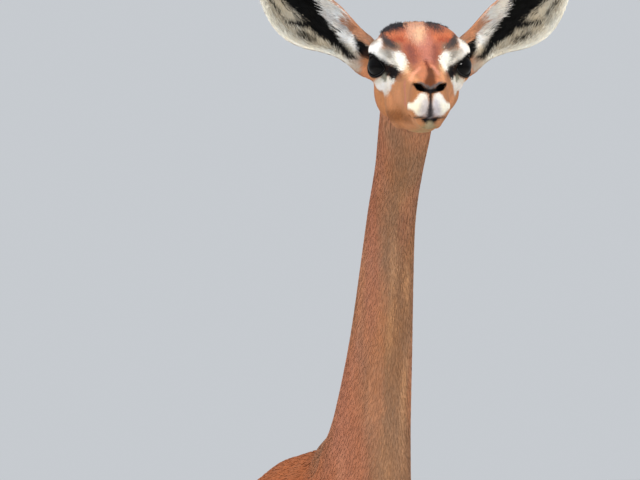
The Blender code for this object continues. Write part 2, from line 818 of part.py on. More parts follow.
def body():
    """Neck, trunk and legs, parted by thin cuts."""
    flesh = thin_out(body_flesh(), TRUNK_TRIANGLES)
    plates, places = leg_cuts()
    point, way = head_cut()
    ends = [
        beyond("top", point + way * GAP / 2, -way, 0.4),
        box("floor", (0, 0, HOOF_HEIGHT + GAP - 0.1), (1.0, 1.6, 0.2)),
        beyond("dock", Vector(TAIL_CUT) - tail_way() * GAP / 2, tail_way(), 0.032),
    ]
    plates.append(cut_plate((0, -0.292, 1.060), (0, -0.2, 1), (0.2, 0.2)))
    plates.append(cut_plate((0, -0.262, 0.880), (0, -0.52, 0.85), (0.3, 0.42)))
    plates.append(cut_plate((0, -0.060, 0.740), (0, 1, 0), (0.5, 0.5)))
    plates.append(cut_plate((0, 0.150, 0.740), (0, 1, 0), (0.5, 0.5)))
    places.update(
        neck_upper=(0, -0.335, 1.14),
        neck_lower=(0, -0.300, 0.96),
        chest=(0, -0.215, 0.70),
        belly=(0, 0.045, 0.735),
        rump=(0, 0.290, 0.75),
    )
    combine(flesh, ends, "DIFFERENCE")
    combine(flesh, plates, "DIFFERENCE")
    return split(flesh, places)


def tail_way():
    return (Vector(TAIL[3][:3]) - Vector(TAIL[1][:3])).normalized()


def lock(name, start, lean, length, width, thick, sag):
    """A flat tapered lock of hair that bends down from its root."""
    rows = []
    for i in range(4):
        t = i / 3
        place = start + lean * (length * t) + Vector((0, 0, -1)) * (sag * t * t)
        size = (1 - t**1.6) * 0.92 + 0.08
        rows.append((*place, width * size, thick * size))
    return tube(name, rows, sides=5, steps=1, finish="tuft")


def tail():
    """The tail and its dark tuft of locks, parted where the tuft starts."""
    whole = tube("tail", TAIL, sides=12, steps=3)
    place = Vector(TAIL_CUT)
    root = beyond("root", place + tail_way() * GAP / 2, -tail_way(), 0.2)
    combine(whole, [root, cut_plate(TUFT_TOP, (0, 0, 1), (0.08, 0.08))], "DIFFERENCE")
    middles = {"tail": (0, 0.462, 0.76), "tail_tuft": (0, 0.469, 0.64)}
    made = split(whole, middles)
    draw = random.Random(7)
    locks = []
    for i in range(TUFT_LOCKS):
        angle = 2.4 * i
        out = Vector((math.cos(angle), math.sin(angle), 0))
        start = Vector(TUFT_TOP) + out * 0.0022
        start.z -= 0.015 + 0.085 * i / TUFT_LOCKS
        lean = (out * 0.22 + Vector((0, 0, -1))).normalized()
        length = draw.uniform(*TUFT_LENGTH)
        locks.append(lock(f"lock{i}", start, lean, length, 0.0058, 0.0026, 0.012))
    combine(made["tail_tuft"], locks, "UNION")
    keep_largest(made["tail_tuft"])
    return made


def hoof_outline(share, rise):
    """A point of one claw's outline: a blunt heel and a pointed toe, leaning back as it rises."""
    angle = 2 * math.pi * share
    reach = math.cos(angle)
    half = HOOF_WIDTH / 2 * (1 - 0.12 * rise)
    back = HOOF_LENGTH * 0.36
    front = HOOF_LENGTH * (0.64 - 0.40 * rise)
    along = front * reach if reach > 0 else back * reach
    taper = 1 - 0.35 * max(0.0, reach) ** 2
    return half * signed_power(math.sin(angle), 0.75) * taper, -along


def hooves():
    """Two claws and two dewclaws for each foot."""
    made = {}
    for name, step in STEPS.items():
        side = 1 if name.startswith("left") else -1
        fore = name.endswith("fore")
        rows = FORELEG if fore else HIND_LEG
        x, y, z = rows[-2][:3]
        y += step * (1 - z / (FORE_PIVOT if fore else HIND_PIVOT))
        for word, way in (("inner", -side), ("outer", side)):
            rings = []
            for rise in (0.0, 0.14, 0.55, 1.0):
                swell = 1.0 if rise else 0.94
                ring = []
                for i in range(14):
                    across, along = hoof_outline(i / 14, rise)
                    ring.append(
                        Vector(
                            (
                                x * side + way * (HOOF_SPACING - 0.0012 * rise) + across * swell,
                                y - 0.004 + along * swell,
                                HOOF_HEIGHT * rise,
                            )
                        )
                    )
                rings.append(ring)
            claw = f"{name}_{word}_claw"
            made[claw] = loft(claw, rings, "horn")
    return made


def dewclaws():
    """Small horny claws behind each fetlock, standing off the skin by the gap."""
    made = {}
    for name, step in STEPS.items():
        side = 1 if name.startswith("left") else -1
        fore = name.endswith("fore")
        rows = FORELEG if fore else HIND_LEG
        x, y, z = rows[-4][:3]
        y += step * (1 - z / (FORE_PIVOT if fore else HIND_PIVOT))
        for word, way in (("inner", -side), ("outer", side)):
            claw = f"{name}_{word}_dewclaw"
            place = Vector((x * side + way * 0.0085, y + 0.0165, z - 0.004))
            made[claw] = ball(claw, place, DEWCLAW, tilt(28), 6, "horn")
    return made


def make_room(obj, others):
    """Cuts a seat for small pieces into an object, a gap wider than they are."""
    seats = []
    for other in others:
        work = bmesh.new()
        work.from_mesh(other.data)
        middle = sum((v.co for v in work.verts), Vector()) / len(work.verts)
        for vert in work.verts:
            vert.co += (vert.co - middle).normalized() * GAP * 1.3
        seats.append(new_object("seat", work))
    combine(obj, seats, "DIFFERENCE")
    return keep_largest(obj)


def main():
    discard(bpy.data.objects)
    nodes = {**head(), **body(), **tail(), **hooves()}
    for claw, obj in dewclaws().items():
        nodes[claw] = obj
    for name in STEPS:
        pair = [nodes[f"{name}_{word}_dewclaw"] for word in ("inner", "outer")]
        make_room(nodes[f"{name}_foot"], pair)
    for side, word in ((1, "left"), (-1, "right")):
        nodes[f"{word}_ear"] = ear(side, f"{word}_ear")
        centre, _, _, _ = eye_axes(side)
        radii = (EYE_RADIUS * MM,) * 3
        turn = HEAD_ROTATION.to_4x4()
        nodes[f"{word}_eye"] = ball(f"{word}_eye", centre, radii, turn, 16, "eye")
    corners = [v.co for obj in nodes.values() for v in obj.data.vertices]
    middle = [(min(c[i] for c in corners) + max(c[i] for c in corners)) / 2 for i in (0, 1)]
    finishes = {"tail_tuft": "tuft"}
    for name, obj in nodes.items():
        obj.data.transform(Matrix.Translation((-middle[0], -middle[1], 0)))
        if name in finishes:
            obj.data.materials.clear()
            obj.data.materials.append(material(finishes[name]))
        obj.data.shade_smooth()
        obj.data.set_sharp_from_angle(angle=math.radians(50))


main()
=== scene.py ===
"""A life-size gerenuk as a still model: skin, coat, ears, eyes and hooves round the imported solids.

Everything is made in the animal's own frame (she faces -Y, her left side is +X) and is moved onto
the solids at the end. Sizes are metres, or millimetres in the head's and the ears' own tables.
"""

import math
import time

import bmesh
import bpy
import numpy as np
from mathutils import Matrix, Vector
from mathutils.bvhtree import BVHTree


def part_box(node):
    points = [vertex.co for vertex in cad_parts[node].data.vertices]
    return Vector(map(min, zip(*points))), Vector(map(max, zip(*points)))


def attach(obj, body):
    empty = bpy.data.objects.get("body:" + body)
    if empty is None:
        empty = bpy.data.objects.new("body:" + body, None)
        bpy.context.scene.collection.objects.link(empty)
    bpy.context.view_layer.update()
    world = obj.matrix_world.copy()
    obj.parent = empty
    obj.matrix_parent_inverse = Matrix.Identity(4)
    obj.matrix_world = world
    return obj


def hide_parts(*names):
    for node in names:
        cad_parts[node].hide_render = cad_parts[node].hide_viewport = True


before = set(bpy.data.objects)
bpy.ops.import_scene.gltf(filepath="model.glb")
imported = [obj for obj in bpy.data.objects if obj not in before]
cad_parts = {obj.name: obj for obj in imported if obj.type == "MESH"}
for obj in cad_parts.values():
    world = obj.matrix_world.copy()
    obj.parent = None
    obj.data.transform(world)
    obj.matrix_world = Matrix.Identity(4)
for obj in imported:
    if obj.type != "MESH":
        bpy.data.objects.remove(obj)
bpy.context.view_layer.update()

START = time.time()

MM = 0.001
GAP = 0.3 * MM
# Trunk, from the breast to the buttocks: y, top, bottom, half width, height of the widest place,
# and how round the back is (2 is an ellipse, less is a sharper ridge)
TRUNK = (
    (-0.352, 0.812, 0.708, 0.028, 0.758, 2.0),
    (-0.324, 0.880, 0.658, 0.052, 0.748, 2.0),
    (-0.278, 0.912, 0.616, 0.069, 0.737, 1.8),
    (-0.220, 0.925, 0.593, 0.081, 0.725, 1.6),
    (-0.150, 0.931, 0.580, 0.091, 0.720, 1.5),
    (-0.080, 0.918, 0.575, 0.101, 0.725, 1.6),
    (-0.020, 0.895, 0.578, 0.108, 0.733, 1.8),
    (0.060, 0.889, 0.591, 0.111, 0.738, 2.0),
    (0.130, 0.886, 0.611, 0.107, 0.746, 2.1),
    (0.200, 0.886, 0.638, 0.099, 0.755, 2.1),
    (0.270, 0.889, 0.668, 0.092, 0.765, 2.0),
    (0.330, 0.883, 0.695, 0.086, 0.770, 1.9),
    (0.380, 0.865, 0.722, 0.073, 0.780, 1.9),
    (0.415, 0.840, 0.750, 0.048, 0.790, 2.0),
    (0.431, 0.820, 0.775, 0.020, 0.798, 2.0),
)
# Neck, from its root in the chest up to the skull: x, y, z, half width, half depth, turn in degrees
NECK = (
    (0.000, -0.205, 0.740, 0.062, 0.130, 0),
    (0.000, -0.226, 0.800, 0.055, 0.124, 0),
    (0.000, -0.243, 0.852, 0.0490, 0.106, 0),
    (0.000, -0.257, 0.893, 0.0435, 0.086, 0),
    (0.000, -0.2705, 0.925, 0.0385, 0.069, 0),
    (0.000, -0.281, 0.960, 0.0355, 0.0570, 0),
    (0.000, -0.300, 1.035, 0.0308, 0.0438, 0),
    (0.000, -0.317, 1.126, 0.0264, 0.0348, -2),
    (-0.001, -0.329, 1.172, 0.0248, 0.0318, -5),
    (-0.002, -0.348, 1.218, 0.0250, 0.0308, -9),
    (-0.0058, -0.371, 1.262, 0.0286, 0.0335, -14),
    (-0.0122, -0.396, 1.296, 0.0308, 0.0350, -18),
    (-0.018, -0.425, 1.312, 0.0280, 0.0290, -20),
)
# Legs of the left side, from the body down: x, y, z, half width, half depth
FORELEG = (
    (0.054, -0.245, 0.760, 0.036, 0.070),
    (0.060, -0.238, 0.690, 0.037, 0.066),
    (0.066, -0.235, 0.630, 0.033, 0.056),
    (0.068, -0.237, 0.578, 0.0285, 0.0420),
    (0.066, -0.245, 0.520, 0.0240, 0.0315),
    (0.063, -0.252, 0.450, 0.0200, 0.0245),
    (0.060, -0.256, 0.390, 0.0168, 0.0202),
    (0.0585, -0.259, 0.350, 0.0192, 0.0230),
    (0.0575, -0.256, 0.314, 0.0154, 0.0180),
    (0.056, -0.252, 0.250, 0.0122, 0.0148),
    (0.055, -0.249, 0.170, 0.0119, 0.0145),
    (0.054, -0.248, 0.125, 0.0134, 0.0168),
    (0.054, -0.251, 0.100, 0.0156, 0.0197),
    (0.054, -0.260, 0.076, 0.0145, 0.0168),
    (0.054, -0.272, 0.052, 0.0146, 0.0162),
    (0.054, -0.285, 0.030, 0.0178, 0.0200),
    (0.054, -0.292, 0.016, 0.0182, 0.0210),
)
HIND_LEG = (
    (0.043, 0.328, 0.800, 0.033, 0.074),
    (0.060, 0.306, 0.740, 0.050, 0.119),
    (0.067, 0.283, 0.680, 0.045, 0.102),
    (0.068, 0.274, 0.620, 0.0370, 0.075),
    (0.065, 0.290, 0.560, 0.0285, 0.050),
    (0.061, 0.322, 0.500, 0.0215, 0.0345),
    (0.058, 0.352, 0.445, 0.0172, 0.0250),
    (0.055, 0.383, 0.390, 0.0176, 0.0258),
    (0.054, 0.391, 0.350, 0.0160, 0.0205),
    (0.053, 0.392, 0.300, 0.0130, 0.0172),
    (0.052, 0.386, 0.220, 0.0122, 0.0152),
    (0.052, 0.381, 0.150, 0.0126, 0.0156),
    (0.052, 0.377, 0.105, 0.0156, 0.0197),
    (0.052, 0.367, 0.079, 0.0145, 0.0168),
    (0.052, 0.354, 0.054, 0.0146, 0.0162),
    (0.052, 0.340, 0.030, 0.0178, 0.0200),
    (0.052, 0.333, 0.016, 0.0182, 0.0210),
)
UPPER_ROWS = 6
FORE_PIVOT = 0.60
HIND_PIVOT = 0.66
STEPS = {"left_fore": -0.018, "right_fore": 0.020, "left_hind": 0.030, "right_hind": -0.022}
# Muscles of the left side: centre, radii, tilt about X in degrees
MUSCLES = (
    ((0.047, -0.240, 0.778), (0.032, 0.060, 0.125), -26),
    ((0.042, -0.293, 0.724), (0.033, 0.038, 0.058), 0),
    ((0.060, -0.222, 0.680), (0.034, 0.068, 0.080), 20),
    ((0.050, 0.350, 0.755), (0.044, 0.078, 0.100), 8),
    ((0.060, 0.232, 0.705), (0.042, 0.052, 0.095), -10),
)
BREAST = ((0.0, -0.303, 0.716), (0.046, 0.042, 0.078), 0)
CORD = (
    (0.0630, 0.3020, 0.675, 0.0320, 0.0560),
    (0.0630, 0.3220, 0.610, 0.0250, 0.0360),
    (0.0600, 0.3450, 0.545, 0.0150, 0.0200),
    (0.0575, 0.3720, 0.475, 0.0085, 0.0095),
    (0.0555, 0.3980, 0.415, 0.0078, 0.0085),
    (0.0550, 0.4070, 0.390, 0.0092, 0.0098),
    (0.0545, 0.4050, 0.362, 0.0082, 0.0080),
    (0.0540, 0.3980, 0.325, 0.0070, 0.0070),
)
# Head: its own frame has its origin midway between the eyes, with forward, left and up in millimetres
EYE_MIDDLE = Vector((-0.0395, -0.475, 1.318))
HEAD_TURN = math.radians(-21.3)
HEAD_RAISE = math.radians(2.5)
# Upper jaw and face: forward, top, bottom, half width
FACE = (
    (-45, 37, -34, 33),
    (-15, 31, -42, 38),
    (12, 23, -48, 36),
    (36, 12.5, -53, 31),
    (62, 3, -56.5, 25.5),
    (88, -5.5, -58, 21.5),
    (110, -12, -58.5, 20.3),
    (128, -17, -58, 19.6),
    (139, -22, -56, 16.5),
    (146, -30, -50, 9.0),
)
# Forehead, from the crown to the bridge of the nose, in the same measures
FOREHEAD = (
    (-84, 24, -12, 17),
    (-66, 40, -12, 32),
    (-38, 47, -10, 41.5),
    (-10, 42, -8, 43.5),
    (10, 31.5, -8, 38.5),
    (26, 21.5, -11, 31.5),
    (40, 12, -13, 24),
    (52, 4.5, -15, 17),
    (62, -3, -17, 9),
)
# Lower jaw: forward, top, bottom, half width
JAW = (
    (-66, -8, -40, 17),
    (-54, -12, -52, 22),
    (-36, -18, -60, 26),
    (-15, -20, -64.5, 28.5),
    (12, -25, -67.5, 25),
    (42, -30, -68, 20),
    (72, -35, -67.5, 16.5),
    (100, -40, -68, 14.5),
    (118, -45, -69, 13.5),
    (129, -48, -67, 10.5),
    (134, -52, -63, 6.0),
)
# Single swellings of the head: forward, left, up, then the radii the same way, then tilt in degrees
HEAD_SINGLE = (
    (-46, 0, 1, 49, 37, 36, 0),
    (-60, 0, -33, 31, 27, 25, 20),
    (119, 0, -61, 15, 12.5, 8.5, 0),
    (137, 0, -31, 9.5, 9, 9, 0),
)
# The same for swellings in pairs: cheek, throat side, brow, lids, eye corner, nostril, lip
HEAD_PAIRS = (
    (2, 20.5, -32, 38, 15.5, 31, -8),
    (-46, 24.5, -21, 29, 19, 29.5, 10),
    (-6, 33, 16, 28, 18.5, 14.0, -12),
    (-2, 34.8, 1, 19.1, 19.1, 19.1, 0),
    (-14, 27, -3, 32, 20, 24, 0),
    (134, 9.3, -26.5, 11.5, 8.5, 7.8, -25),
    (121, 11, -46.5, 23, 10.6, 13, -6),
)
EYE_RADIUS = 17.0
EYE_SEAT = (-2, 34.8, 1)
EYE_OUTWARD = math.radians(59)
LID_LENGTH = 19.5
LID_UPPER = 6.8
LID_LOWER = 11.2
LID_TILT = math.radians(21)
NOSTRIL = ((142, 10.6, -28.8), (9.0, 6.3, 3.5), 30)
TEAR_PIT = ((33, 31.5, -9.0), (11.0, 4.2, 3.6))
MOUTH_LINE = ((70, -52.5), (88, -55.5), (106, -58.0), (122, -59.0), (134, -58.5), (142, -57.5))
MOUTH_RADIUS = 1.1
# Ear: root in the head's frame, then along its length in millimetres the width, cup depth and bow
EAR_ROOT = (-52, 49, 11)
EAR_TIP = (-74, 171, 124)
EAR = (
    (0, 38, 14, 0),
    (12, 36.5, 18, 0.5),
    (24, 38, 21, -0.8),
    (38, 45, 22.5, -3),
    (55, 56, 22, -7),
    (71, 60.5, 20, -10),
    (87, 60, 17.5, -11),
    (103, 54, 14.5, -10),
    (118, 44.5, 11, -7.5),
    (133, 32, 8, -4.8),
    (149, 18, 5, -2),
    (160, 7.5, 3, -0.5),
    (166.5, 2.2, 1.2, 0),
)
EAR_FRONT = 12.5
EAR_WALL = (2.5, 1.3)
EAR_CUP = (8, 42)
TAIL = (
    (0.0, 0.385, 0.842, 0.0250, 0.0210),
    (0.0, 0.422, 0.842, 0.0175, 0.0155),
    (0.0, 0.453, 0.822, 0.0122, 0.0112),
    (0.0, 0.467, 0.778, 0.0095, 0.0085),
    (0.0, 0.470, 0.730, 0.0080, 0.0070),
    (0.0, 0.470, 0.680, 0.0068, 0.0060),
    (0.0, 0.469, 0.622, 0.0056, 0.0050),
    (0.0, 0.468, 0.592, 0.0030, 0.0030),
)
TUFT_TOP = (0.0, 0.469, 0.700)
HOOF_HEIGHT = 0.026
HOOF_LENGTH = 0.052
HOOF_WIDTH = 0.0175
HOOF_SPACING = 0.0104
DEWCLAW = (0.0050, 0.0046, 0.0105)

# Rows of the neck that go inside the head, and of the throat that go inside the neck, in millimetres
NECK_INSET = (0, 0, 0, 0, 0, 0, 0, 0, 0, 0, 0, 4, 7)
THROAT_INSET = (5, 4, 3, 0, 0)
HEAD_VOXEL = 0.0014
HEAD_PASSES = 23
BODY_TRIANGLES = 64000
SOCKET = EYE_RADIUS + 0.25
LID_RIM = 0.50
TUFT_LIMIT = 33000
# Where the coat is fuller, at the crease of nape and withers: middle, reach and height
FULLER = (
    ((0.0, -0.150, 0.924), 0.052, 0.0040),
    ((0.0, -0.085, 0.914), 0.055, 0.0045),
    ((0.0, -0.035, 0.903), 0.050, 0.0022),
    ((0.021, -0.188, 0.931), 0.036, 0.0045),
    ((-0.021, -0.188, 0.931), 0.036, 0.0045),
)
# Her left jaw as the photograph shows it: how far down and forward it is drawn in, and by what share
JAW_BELOW, JAW_AHEAD, JAW_IN = (-26, -60), (60, 105), 0.22

# Coat by region: length and half width of a tuft, coat depth, lift of the tip (all mm), and cover
COAT = {
    "head": (5.2, 0.42, 0.80, 0.32, 1.20),
    "neck": (9.0, 0.62, 1.4, 0.45, 1.40),
    "trunk": (13.0, 1.05, 2.0, 0.75, 1.40),
    "leg": (8.0, 0.74, 1.0, 0.40, 1.30),
    "tail": (10.0, 0.80, 1.2, 0.70, 1.50),
}
LIES = {"neck": (0, 0.36, -0.93), "leg": (0, 0.14, -1.0), "tail": (0, 0.12, -1.0)}

# Colours from 0 to 255
RUST, BUFF, CREAM = (150, 88, 56), (190, 136, 92), (238, 224, 202)
KNEE, PASTERN, NAPE, THROAT = (46, 36, 32), (160, 114, 80), (148, 98, 74), (144, 106, 79)
HEAD_SIDE, EYE_SKIN, TUFT = (174, 120, 83), (14, 12, 13), (26, 22, 22)
SCLERA, IRIS, IRIS_EDGE = (4, 4, 5), (8, 6, 6), (3, 3, 4)
EAR_CREAM, EAR_WHITE, EAR_LOWER_RIM = (172, 162, 143), (250, 246, 240), (236, 230, 214)
EAR_DARK_LINE, EAR_ORANGE, EAR_UPPER_RIM = (112, 100, 86), (204, 144, 108), (226, 206, 160)
EAR_BLACK, EAR_BACK, EAR_TIP_DARK = (12, 10, 12), (164, 108, 70), (60, 45, 38)
EAR_BASE, NECK_STREAK = (182, 164, 148), (190, 142, 104)
# Patches of the neck: colour, size of the patches in metres, seed, noise from and to, and most
NECK_PATCHES = (
    ((134, 102, 78), (0.035, 0.035, 0.12), 2, 0.0, 0.5, 0.6),
    ((176, 120, 88), (0.022, 0.022, 0.09), 3, 0.1, 0.6, 0.6),
    ((158, 100, 78), (0.03, 0.03, 0.10), 4, 0.1, 0.6, 0.5),
)
# Height of the saddle's edge behind the shoulder and at the withers
SADDLE_EDGE = (0.800, 0.838)

# Markings of both sides of the head, and painted shade along the jaw's lower edge: colour, softness
# of the edge, and a line of forward, out from the middle, up and radius, in millimetres; later ones
# lie over earlier ones
HEAD_MARKS_AND_SHADE = (
    ((170, 144, 106), 12, ((125, 0, -73, 7), (100, 0, -78, 12), (60, 0, -78, 13), (-15, 0, -76, 15))),
    ((140, 120, 86), 7, ((128, 0, -67, 5), (112, 8, -66, 4))),
    # painted shade: a brown band along the lower edge of the cheek and jaw, where the head shades itself
    ((134, 86, 54), 8, ((-20, 33, -48, 6), (22, 28, -50, 7), (44, 20, -54, 5.5), (76, 15, -58, 4.5))),
    ((190, 130, 92), 12, ((20, 32, -36, 6), (60, 25, -32, 6))),
    ((158, 110, 78), 8, ((-20, 42, -24, 4), (-14, 36, -34, 4))),
    ((56, 54, 58), 5, ((-30, 30, 38, 4), (-34, 12, 47, 9), (-52, 0, 45, 14))),
    ((190, 182, 168), 4, ((32, 28, 0, 3), (42, 25, -4, 2.6))),
    ((208, 204, 194), 4, ((-12, 43, -14, 3), (9, 40, -16, 4.4), (24, 34, -15.5, 4.6), (42, 29.3, -16, 3))),
    ((210, 206, 202), 4, ((-8, 41, -20, 4), (10, 37, -21, 5), (30, 32, -21, 4.4))),
    ((200, 192, 184), 5, ((6, 35.5, -26, 3.2), (20, 33.5, -26.5, 3))),
    ((122, 120, 108), 3, ((17.5, 37, -7, 2.8), (15, 37, -12.5, 4.4))),
    ((22, 18, 19), 3, ((16, 39, 3.5, 2.6), (21, 34, -2.5, 4.4), (34, 28.6, -5.5, 4.4), (52, 25, -10, 2.2))),
    ((20, 16, 17), 3, ((15, 33, -4.5, 3.2), (18.5, 33, -9, 2.8), (22, 34, -5.5, 4.0), (33, 29, -8.5, 6.6), (45, 25.5, -11, 4.6))),
    ((132, 78, 56), 3, ((54, 22.5, -8, 1.6), (60, 22, -14, 2.2))),
    ((176, 112, 96), 5, ((80, 21.5, -20, 3), (90, 21.5, -36, 3), (76, 20.6, -44, 2.4))),
    ((34, 30, 30), 5, ((-41, 50, 15, 5), (-42, 50, 21, 5), (-42, 50, 28, 5), (-43, 49, 34, 3.6))),
    ((172, 162, 150), 5, ((-46, 60, 2, 6),)),
    ((205, 142, 106), 6, ((-42, 54, -2, 4), (-46, 50, -10, 5))),
)
# Markings of the forehead, brows and nose as they are seen from the front, both sides alike: the
# same, with out, up and radius
FACE_MARKS = (
    ((184, 106, 82), 14, ((0, 38, 30), (0, 26, 24), (0, 12, 15), (0, 2, 12))),
    ((212, 134, 96), 8, ((0, -4, 9), (0, -14, 10))),
    ((208, 122, 86), 6, ((38, 32, 3.5), (28, 30.5, 4), (15, 29, 4))),
    ((170, 82, 60), 4, ((30, 26.5, 1.8), (19, 27, 2.6))),
    ((138, 108, 90), 6, ((33, 18, 4.4), (24, 19, 4))),
    ((74, 66, 65), 4, ((36.5, 31, 2.5), (33.5, 24.5, 4), (27.5, 20.5, 3))),
    ((240, 235, 228), 3.5, ((50, 11, 5), (46.5, 17, 5.6), (42, 22, 3.6), (40, 27, 1.6))),
    ((158, 144, 130), 4, ((50, 23, 2), (45.5, 27, 3))),
    ((180, 174, 164), 4, ((39.5, 14.5, 3.0), (35.5, 11.5, 5.2), (30, 8, 7.2))),
    ((142, 134, 125), 5, ((33.5, 14.5, 2.6), (30.5, 9.5, 2.0))),
    ((224, 219, 211), 3, ((47, 13, 1.8), (42, 10.5, 3.2), (37, 6.5, 2.8), (31.5, 3, 2.2))),
    ((244, 240, 228), 3, ((23.5, 10.5, 4.2), (22.3, 8, 5.2), (21.3, 4, 5.4), (22.3, -1.5, 3.8), (23, -5.5, 1.8))),
    ((238, 204, 160), 3.5, ((17.5, 0, 1.2), (18, -6, 1.6))),
    ((218, 154, 112), 5, ((16.5, -8, 2.6), (14.5, -15, 3.4), (13, -20, 2.4))),
    ((140, 98, 74), 5, ((24.5, -6, 1.8), (25, -13, 2.2))),
    ((150, 88, 74), 6, ((12, 18, 4), (11, 10, 4.6), (10.5, 4, 3))),
)
# The same for those that lie to one side, with left instead of out, and a painted highlight on the forehead
MIDDLE_MARKS_AND_HIGHLIGHT = (
    ((200, 128, 110), 8, ((4, 24, 8), (6, 14, 6), (7, 7, 4))),
    # these two: the forehead's paler middle, with a painted highlight over it where light falls on its top
    ((226, 166, 136), 8, ((-4, 41, 9.5), (-3, 34, 10), (-1, 29, 7))),
    ((244, 196, 158), 7, ((-1, 36, 4), (-1, 30, 4))),
    ((42, 41, 45), 4, ((-35, 36.5, 3.4), (-27, 40, 5), (-18, 42.5, 5))),
    ((64, 58, 58), 4, ((8, 44, 3.4), (14, 41, 3.6), (21, 37.5, 3))),
    ((126, 58, 42), 2, ((5, 5.5, 1.0), (7, 0, 1.6), (9, -5, 2.4))),
    ((112, 64, 40), 5, ((10, -6, 3.4), (10, -13, 4.8), (9, -18, 6.5))),
    ((244, 164, 130), 2.5, ((-1, -3, 0.9), (-7, -9, 1.5), (-9.5, -14, 1.4))),
    ((230, 158, 134), 2.5, ((12, -1, 0.9), (18, -9, 1.1))),
)
FACE_FROM = -30
# How far the front view is turned: left and up for each millimetre forward
FRONT_VIEW = (0.0645, 0.0436)
# Markings of the muzzle as it is seen from the front, and painted shade low on its white: the same,
# with out, up and radius
MUZZLE_MARKS_AND_SHADE = (
    ((160, 110, 78), 5, ((20, -28, 7), (22, -42, 5))),
    ((236, 231, 222), 2.4, ((7.5, -39.3, 4.8), (9.5, -46, 7.0), (10, -51, 5.6))),
    ((238, 232, 214), 2.2, ((12, -49.5, 5), (20.5, -46, 2.4))),
    # painted shade: grey-violet on the lower inner part of the white lips, beside the philtrum
    ((196, 190, 194), 6, ((5, -44, 3), (6, -52, 5))),
    ((98, 91, 89), 1.6, ((13, -23.6, 0.5), (9, -24.6, 1.2), (4.5, -27.8, 1.4), (0, -30.6, 1.8))),
    ((15, 12, 13), 1.4, ((15.5, -25.5, 1.4), (10.8, -28.8, 3.6), (6, -31.6, 2.4), (0, -33.2, 2.2))),
    ((30, 27, 29), 1.4, ((0, -33, 1.5), (0, -45, 1.3), (0, -53, 1.6))),
    ((122, 114, 116), 3, ((0, -46, 1.6), (0, -52, 3.6), (0, -56, 4.6))),
    ((54, 50, 53), 2, ((0, -44, 1.2), (0, -56, 2.2))),
    ((20, 17, 18), 1.8, ((8.4, -58.4, 1.0), (4.5, -60.8, 2.4), (0, -62, 3.0))),
    ((92, 74, 62), 1.6, ((7, -58, 0.8), (16, -58.2, 0.7))),
    ((158, 142, 112), 4, ((0, -66, 4),)),
)
MUZZLE_FROM = 116
# Places without hair: lines as above, and the same for the muzzle
BARE = (
    ((146, 10.6, -28.8, 4.6), (128, 8, -29.5, 5.5)),
    ((122, 18, -59, 0.9), (90, 19, -56, 0.8)),
)
MUZZLE_BARE = (
    ((11, -28.8, 3.4), (6, -31.4, 2.2), (0, -32.6, 2.0)),
    ((0, -32, 1.2), (0, -52, 0.9)),
    ((9, -58.2, 1.2), (0, -60.4, 1.8)),
)
# Folds: height in millimetres (out is more than 0), and a line with its radius
FOLDS = (
    (-0.7, ((19, 33, 4, 1.6), (8, 44.5, 12.5, 1.7), (-14, 45, 11, 1.7))),
    (0.9, ((26, 30, 12, 5), (6, 43, 20, 5), (-18, 44, 18, 5))),
    (-0.6, ((18, 33, -12, 1.8), (4, 42, -17, 1.8), (-12, 43, -13, 1.8))),
    (-0.8, ((17, 35, -4, 1.6), (30, 30.5, -7, 1.6))),
    (-2.0, ((30, 30, -8, 1.9), (42, 27, -10, 1.5))),
    (0.7, ((25, 31, -22, 4), (60, 26, -30, 4))),
    (2.6, ((-16, 38, -20, 10), (8, 37, -20, 8))),
    (-0.8, ((-25, 33, -50, 4), (-5, 33, -56, 4), (15, 28, -58, 4))),
    (-1.0, ((30, 28, -46, 5), (65, 22, -48, 5))),
    (0.8, ((146, 5, -27, 2), (142, 13, -22.5, 2), (133, 18, -24, 2))),
    (-0.9, ((128, 17.5, -20, 2.2), (126, 19.8, -29, 2.2), (132, 19, -37, 2.2))),
    (-1.3, ((147, 0, -33, 1.3), (146, 0, -42, 1.2), (143, 0, -54, 1.3))),
    (0.7, ((143, 8, -46, 5), (134, 16, -52, 5))),
    (-0.8, ((72, 20, -52, 2), (64, 20, -58, 2))),
)
EAR_RIDGE = 1.2
# The ear's black band: along, its middle across and its half width; its branches: along, across, radius
EAR_BAND = (
    (2, -4.0, 1.0),
    (12, -9.5, 3.2),
    (24, -9.6, 4.0),
    (38, -9.5, 4.8),
    (46, -8.8, 6.8),
    (61, -7.2, 9.8),
    (76, -1.8, 12.2),
    (90, -0.6, 13.0),
    (102, -1.2, 13.2),
    (125, -2, 9.8),
    (145, -1.5, 5.2),
    (160, 0, 1),
)
EAR_BRANCHES = (
    ((66, -13, 3.4), (76, -20, 4.2), (86, -27.5, 2.4)),
    ((52, -22, 1.6), (62, -26, 3.2), (70, -29, 1.6)),
    ((48, -13, 1.6), (58, -18, 1.2)),
    ((114, -22, 1.6), (92, -27, 1.0)),
    ((-6, 1, 4.5), (4, 3, 6.0), (12, 5.5, 5.5), (23, 9, 2.6)),
)
# Long hair in the ear: shares across from and to, along from and to, count, length, lean, colour
EAR_HAIR = (
    (0.38, 0.56, 28, 62, 150, 8, -0.45, (236, 228, 222)),
    (0.38, 0.88, 44, 126, 460, 9, -0.50, (255, 251, 246)),
    (0.56, 0.95, 4, 46, 240, 8, -0.30, (216, 158, 122)),
    (-0.90, -0.45, 20, 132, 300, 8, 0.40, (204, 196, 178)),
    (-0.99, -0.76, 26, 140, 280, 7, 0.30, (238, 233, 219)),
    (-0.25, 0.30, 34, 146, 260, 8, 0.0, (14, 12, 13)),
)
